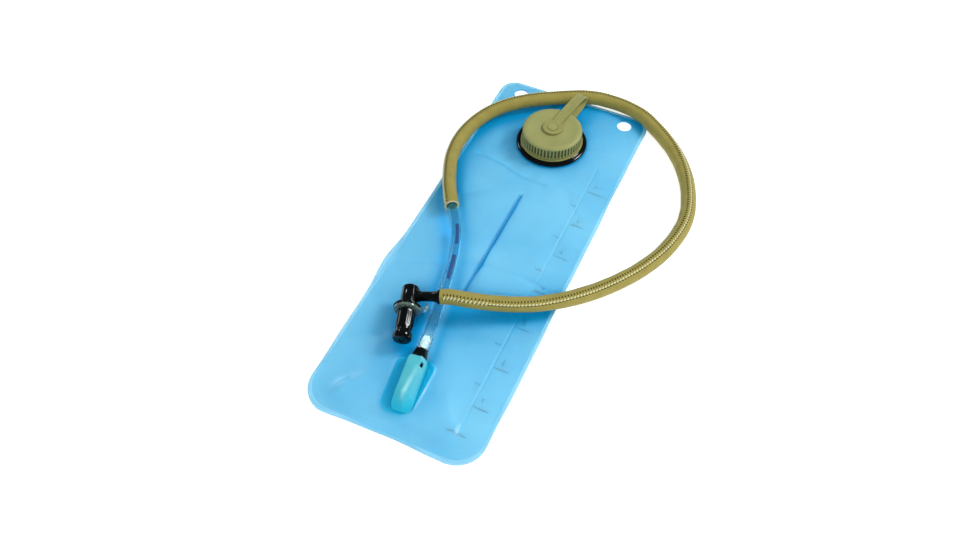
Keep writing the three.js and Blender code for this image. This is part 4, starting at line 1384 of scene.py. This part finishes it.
# Injection-moulded acetal: milky white and waxy.
def whiteAcetal():
    values = {"IOR": 1.48, "Subsurface Weight": 0.3, "Subsurface Scale": 0.002}
    return mottled("whiteAcetal", values, 5.0, "#e2ecea", "#f7fbf9", (0.28, 0.4))


# The outlet's cross-section: a top facet that leans to the left, a steep left wall and a sloping right one.
def portSection(t):
    share = min(t / port["edgeAt"], 1)
    past = max(0, (t - port["edgeAt"]) / (outlet["length"] - port["edgeAt"]))
    half, corner = outlet["width"] / 2, outlet["tailCorner"]
    tail = outlet["length"] - corner
    if t > tail:
        half += math.sqrt(max(corner ** 2 - (t - tail) ** 2, 0)) - corner

    def along(key):
        first, last = port[key]
        return first + (last - first) * share

    crown = port["crown"] + (port["edgeCrown"] - port["crown"]) * share
    crown += (port["tail"] - crown) * past ** 0.92
    ridge = min(along("ridge"), half * 0.75)
    left = max(along("left"), -half * 0.85)
    fall = port["facetFall"] * share * (1 - past)
    right = min(along("rightWall"), crown - 0.5 - 0.4 * (1 - past))
    wall = min(along("leftWall"), crown - fall - 0.6)
    if past > 0:
        right = min(right, port["tail"] - 0.5 + (crown - port["tail"]) * 0.3)
    corners = [
        (-half, port["low"]), (half, port["low"]), (half, right), (ridge, crown), (left, crown - fall),
        (-half, wall)]
    return eased(corners, port["easing"])


def addPort():
    ends = [0, 0.25, 0.7, 1.4]
    steps = ends + list(np.linspace(2.4, outlet["length"] - 1, 44)) + [outlet["length"] - 0.4, outlet["length"]]
    rings = []
    for t in steps:
        shrink = 0.7 * (1 - min(t / 1.4, 1)) ** 2
        grown = [(x * (1 - shrink / 9), port["low"] + (z - port["low"]) * (1 - shrink / 20))
            for x, z in portSection(t)]
        rings.append([(x, -t, z) for x, z in grown])
    piece = addMesh("outlet", lofted(rings), outletPlace, sharp=70)
    along = outletPlace @ Matrix.Translation((0, 0, outlet["axis"]))
    along = along @ Matrix.Rotation(math.radians(-90), 4, "X")
    bore = turned([(0, -port["socketDepth"]), (port["socket"], -port["socketDepth"]), (port["socket"], 2),
        (0, 2)], 64)
    carve(piece, bore, along, sharp=45)
    wide, long = port["window"]
    turn = outletPlace @ Matrix.Translation((0, -port["windowAt"], outlet["axis"]))
    turn = turn @ Matrix.Rotation(math.radians(45), 4, "Y")
    carve(piece, boxShape((-wide / 2, -long / 2, 4), (wide / 2, long / 2, 14)), turn, sharp=45)
    settle(piece, tintedPolycarbonate(), "reservoir", ["outlet_port"])
    return along


def addPlug(along):
    p = plug
    collar = eased([
        (3.9, p["collarStart"]), (p["wide"], p["collarStart"]), (p["wide"], p["collarStart"] + 1.3),
        (p["narrow"], p["collarEnd"]), (3.9, p["collarEnd"])], 0.4)
    addPiece("collar_cone", turned(collar, 72), black, "reservoir", ["plug_collar"], along)
    nose = [
        (1.8, -16.5), (5.2, -16.5), (5.2, -12.8), (3.4, -12.8), (3.4, -11.2), (5.2, -11.2), (5.2, -8.8),
        (3.4, -8.8),
        (3.4, -5.2), (5.2, -5.2), (5.2, -0.3), (3.6, -0.3), (3.6, p["collarEnd"] + 0.1)]
    ridges = []
    pitch = (p["barbEnd"] - p["collarEnd"] - 2.0) / 3
    for k in range(3):
        at = p["collarEnd"] + 0.6 + k * pitch
        ridges += [(p["valley"] + 0.2, at), (p["barb"], at + 0.7), (p["barb"], at + 1.9),
            (p["valley"], at + pitch - 0.2)]
    tip = [(p["valley"] + 0.3, p["barbEnd"] - 1.2), (p["valley"] - 0.4, p["barbEnd"] - 0.2), (1.8, p["barbEnd"])]
    addPiece("plug_barb", turned(eased(nose + ridges + tip, 0.5), 64), whiteAcetal(), "reservoir",
        ["hose_plug"], along)


outletAlong = addPort()
addPlug(outletAlong)
print("outlet made")


# The valve.

valve = {
    "heading": 18.0,
    "roll": 7.0,
    "tilt": 4.0,
    "radius": 7.6,
    "above": 8.5,
    "below": 11.3,
    "disc": 12.5,
    "discThick": 1.3,
    "fluteHalf": 8.6,
    "fluteWidth": 27.0,  # degrees to each side
    "fluteDepth": 1.15,
    "fluteAngle": 80.0,
    "boss": 5.4,
    "bossEnd": 10.0,
    "stem": 4.6,
    "stemShoulder": 6.4,
    "stemEnd": 28.0,
    "stemTip": 34.0,
}

valvePlace = Matrix.Translation(Vector(joints["shutoff_turn"]["pos_m"]) / mm)
valvePlace = valvePlace @ Matrix.Rotation(math.radians(valve["heading"]), 4, "Z")
valvePlace = valvePlace @ Matrix.Rotation(math.radians(-valve["roll"]), 4, "Y")
valvePlace = valvePlace @ Matrix.Rotation(math.radians(valve["tilt"]), 4, "X")
mouthward = valvePlace @ Matrix.Rotation(math.radians(90), 4, "X")
stemward = valvePlace @ Matrix.Rotation(math.radians(90), 4, "Y")

discFace = valve["below"] + valve["discThick"]
lock = {
    "start": discFace + 0.3,
    "thick": 2.7,
    "radius": 11.9,
    "bore": 6.4,
    "reach": 18.2,
    "width": 7.4,
    "curl": 5.6,
    "ribs": 16,
}
lockEnd = lock["start"] + lock["thick"]
mouth = {
    "start": lockEnd + 0.3,
    "length": 29.5,
    "radius": 8.0,
    "waist": 7.3,
    "rim": 8.5,
    "bore": 6.4,
    "hole": 2.4,
    "flutes": 10,
    "fluteDepth": 0.42,
}
mouthEnd = mouth["start"] + mouth["length"]


# The elbow's barrel has a long oval flute pressed into the side that faces up.
def addElbow():
    v = valve
    bottomIn = 4.6
    profile = eased([
        (0, -v["above"] + 0.5), (v["radius"] - 1.6, -v["above"] + 0.5), (v["radius"] - 1.6, -v["above"]),
        (v["radius"], -v["above"])], 0.3, closed=False)[:-1]
    heights = list(np.linspace(-v["above"] + 0.6, v["below"] - 0.3, 44))
    profile += [(v["radius"] - 0.35, -v["above"] + 0.08)] + [(v["radius"], h) for h in heights]
    profile += eased([
        (v["radius"], v["below"] - 0.2), (v["disc"], v["below"]), (v["disc"], discFace), (bottomIn, discFace),
        (bottomIn, 3.0), (0, 3.0)], 0.4, closed=False)[1:]
    steps = 120
    points, faces = turned(profile, steps)
    middle = (v["below"] - v["above"]) / 2 + 0.4
    pressed = []
    for x, y, z in points:
        radius = math.hypot(x, y)
        if abs(radius - v["radius"]) < 0.01:
            off = (math.degrees(math.atan2(y, x)) - v["fluteAngle"] + 180) % 360 - 180
            oval = math.hypot(off / v["fluteWidth"], (z - middle) / v["fluteHalf"])
            depth = v["fluteDepth"] * float(1 - smoothStep(0.86, 1.0, oval)) * (1 - 0.4 * min(oval, 1) ** 2)
            x, y = x * (1 - depth / radius), y * (1 - depth / radius)
        pressed.append((x, y, z))
    barrel = moved((pressed, faces), mouthward)
    boss = turned(eased([
        (0, 2.0), (v["boss"], 2.0), (v["boss"], v["bossEnd"]), (3.3, v["bossEnd"]), (3.3, 6.0),
        (0, 6.0)], 0.5, closed=False), 64)
    addPiece("elbow", joined(barrel, moved(boss, stemward)), black, "reservoir", ["valve_elbow"])


def addStem():
    v = valve
    profile = eased([
        (1.6, 5.8), (3.0, 5.8), (3.0, v["bossEnd"] + 0.3), (v["stem"], v["bossEnd"] + 0.3),
        (v["stem"], v["stemEnd"] - 7),
        (v["stemShoulder"] - 0.9, v["stemEnd"] - 3.2), (v["stemShoulder"], v["stemEnd"] - 2),
        (v["stemShoulder"], v["stemEnd"]),
        (2.7, v["stemEnd"]), (2.7, v["stemEnd"] + 0.4), (2.2, v["stemEnd"] + 3), (2.7, v["stemEnd"] + 3.4),
        (2.2, v["stemTip"]), (1.6, v["stemTip"])], 0.5)
    addPiece("stem", turned(profile, 72), black, "reservoir", ["valve_stem"], stemward)


# Moulded smoke-tinted polycarbonate: see-through grey-green, with hard bright glints.
def smokePolycarbonate():
    values = {"IOR": 1.55, "Transmission Weight": 0.55, "Coat Weight": 0.5, "Coat Roughness": 0.04}
    return mottled("smokePolycarbonate", values, 6.0, "#5c7165", "#93a699", (0.08, 0.2))


# The ring's tab runs out to the side and curls back towards the elbow.
def addLockRing():
    k = lock
    body = turned(eased([
        (k["bore"], k["start"]), (k["radius"] - 0.5, k["start"]), (k["radius"], k["start"] + 0.8),
        (k["radius"] - 0.2, lockEnd), (k["bore"], lockEnd)], 0.4), 96)
    ribs = []
    for i in range(k["ribs"]):
        rib = boxShape((8.9, -0.45, lockEnd - 0.3), (k["radius"] - 0.5, 0.45, lockEnd + 0.35))
        ribs.append(moved(rib, Matrix.Rotation(math.radians(360 / k["ribs"] * i + 11), 4, "Z")))
    middle = k["start"] + k["thick"] * 0.55
    dots = [
        (k["radius"] - 3, middle), (k["radius"] + 1.5, middle), (k["reach"] - 2.2, middle + 0.3),
        (k["reach"], middle - 1.2),
        (k["reach"] + 0.2, middle - 3.2), (k["reach"] - 1.2, middle - k["curl"])]
    _, line = smoothRoute([(x, z, 0) for x, z in dots], 0.5)

    def section(share):
        half = k["width"] / 2 * (1 - 0.15 * share)
        return eased([(-half, -0.85), (half, -0.85), (half, 0.85), (-half, 0.85)], 0.5)

    return addPiece("lock_ring", joined(body, swept(line, section), *ribs), smokePolycarbonate(), "shutoff",
        ["shutoff_ring"], mouthward)


def addSpool():
    s = mouth
    nozzle = 6.1
    profile = eased([
        (0, -4.3), (4.3, -4.3), (4.3, 7.5), (3.2, 7.5), (3.2, 9.1), (4.3, 9.1), (4.3, discFace + 0.3),
        (nozzle, discFace + 0.3),
        (nozzle, s["start"] + 8.2), (nozzle - 1.1, s["start"] + 8.2), (nozzle - 1.1, s["start"] + 9.8),
        (nozzle, s["start"] + 9.8), (nozzle, mouthEnd - 8.7), (1.8, mouthEnd - 8.7), (1.8, mouthEnd - 0.6),
        (0, mouthEnd - 0.4)], 0.3, closed=False)
    return addPiece("spool", turned(profile, 72), black, "shutoff", ["shutoff_spool"], mouthward)


# The mouthpiece has soft flutes down its barrel, a waist and a full rim with the drinking hole in it.
def addMouthpiece():
    m = mouth
    start, end = m["start"], mouthEnd
    barrel = [(m["radius"] + 0.12 * math.sin((h - start) / 17 * math.pi), h, 1)
        for h in np.linspace(start + 1.6, end - 13.5, 10)]
    profile = [
        (m["bore"], start), (m["radius"] - 0.6, start), (m["radius"] - 0.05, start + 0.5), *barrel,
        (m["radius"] - 0.1, end - 12.4, 0.5), (m["waist"] + 0.25, end - 11.0), (m["waist"], end - 9.8),
        (m["waist"] + 0.2, end - 8.6), (m["rim"] - 0.35, end - 7.0), (m["rim"], end - 5.4), (m["rim"], end - 3.2),
        (m["rim"] - 0.35, end - 1.6), (m["rim"] - 1.2, end - 0.4), (m["rim"] - 2.4, end), (m["hole"] + 1.2, end),
        (m["hole"] + 0.3, end - 0.3), (m["hole"], end - 1.0), (m["hole"], end - 2.4), (m["bore"], end - 2.4)]
    around = 12  # points round each flute
    steps = m["flutes"] * around
    relief = [m["fluteDepth"] * (0.5 - 0.5 * math.cos(2 * math.pi * i / around)) for i in range(around)]
    return addPiece("mouth", turned(profile, steps, relief), black, "bite_mouth", ["mouthpiece"],
        mouthward, sharp=55)


addElbow()
addStem()
onValve = [bpy.data.objects[name] for name in ("elbow", "stem")] + [addLockRing(), addSpool(), addMouthpiece()]
print("valve made")


# The CAD pieces that stay.

for name in ("cap_seal", "plug_o_ring", "spool_o_ring", "mouth_o_ring"):
    settle(nodes[name], rubber, None)
settle(nodes["latch_button"], black, None)


# A strip of the same film joins the two sheets down the middle, slack between its welds.
def addBaffle():
    low, high = (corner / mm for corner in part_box("inner_baffle"))
    middle, half = (low.x + high.x) / 2, (high.x - low.x) / 2
    rings = []
    for y in np.linspace(low.y, high.y, 90):
        lean = 0.3 * half * math.sin(y / 9)
        side = [(middle + lean * math.sin(math.pi * t), low.z + (high.z - low.z) * t)
            for t in np.linspace(0, 1, 7)]
        left = [(x - 0.6 * half, y, z) for x, z in side]
        rings.append([(x + 0.6 * half, y, z) for x, z in side] + left[::-1])
    points, faces = lofted(rings)
    addPiece("baffle_film", (points, [face[::-1] for face in faces]), filmBlue, "reservoir",
        ["inner_baffle"])


addBaffle()


# Floor and light.

studio = {
    "floor": 4.0,
    "world": 0.42,
    "reflected": 0.14,
    "glints": ("key", "left"),  # the lamps that show in glossy surfaces
    "glow": 0.5,  # the board's own light, which keeps shadows on it pale
    "shade": "#cdeeff",  # the cool light that is left in the shadows
    "lights": {
        "key": {"place": (0.86, 0.78, 1.1), "size": 0.42, "power": 14.5},
        "right": {"place": (1.1, -0.3, 1.1), "size": 0.4, "power": 2.5},
        "front": {"place": (0.2, -1.0, 1.1), "size": 0.5, "power": 8.5},
        "left": {"place": (-0.9, 0.43, 0.67), "size": 0.25, "power": 1.4},
    },
}


# Matt white board.
def whiteBoard():
    material, shader, place = newMaterial("whiteBoard", {"Roughness": 0.9, "Emission Strength": studio["glow"]})
    paper = addNode(material, "TexNoise", {"Vector": place, "Scale": perMetre(3.0), "Detail": 3.0})
    white = addNode(material, "Mix", {0: paper, 6: linear("#f6f6f6"), 7: linear("#ffffff")}, 2, data_type="RGBA")
    feed(material, shader, "Base Color", white)
    feed(material, shader, "Emission Color", white)
    return material


def addStudio():
    half = studio["floor"] / 2 / mm
    floor = addMesh("floor",
        ([(-half, -half, 0), (half, -half, 0), (half, half, 0), (-half, half, 0)], [[0, 1, 2, 3]]))
    floor.location.z = -0.05 * mm
    floor.data.materials.append(whiteBoard())
    world = bpy.data.worlds.new("studio")
    world.use_nodes = True
    world.node_tree.nodes["Background"].inputs["Color"].default_value = linear(studio["shade"])
    # The room is darker in reflections than it is as light.
    lit = addNode(world, "LightPath", {}, "Is Glossy Ray")
    strength = addNode(world, "MapRange", {0: lit, 1: 0.0, 2: 1.0, 3: studio["world"], 4: studio["reflected"]})
    world.node_tree.links.new(strength, world.node_tree.nodes["Background"].inputs["Strength"])
    bpy.context.scene.world = world
    for name, light in studio["lights"].items():
        data = bpy.data.lights.new(name, "AREA")
        data.size = light["size"]
        data.energy = light["power"]
        lamp = bpy.data.objects.new(name, data)
        bpy.context.scene.collection.objects.link(lamp)
        lamp.location = light["place"]
        lamp.rotation_euler = (-Vector(light["place"])).to_track_quat("-Z", "Y").to_euler()
        lamp.visible_glossy = name in studio["glints"]
    bpy.context.scene.view_settings.view_transform = "Standard"


addStudio()
print("studio lit")
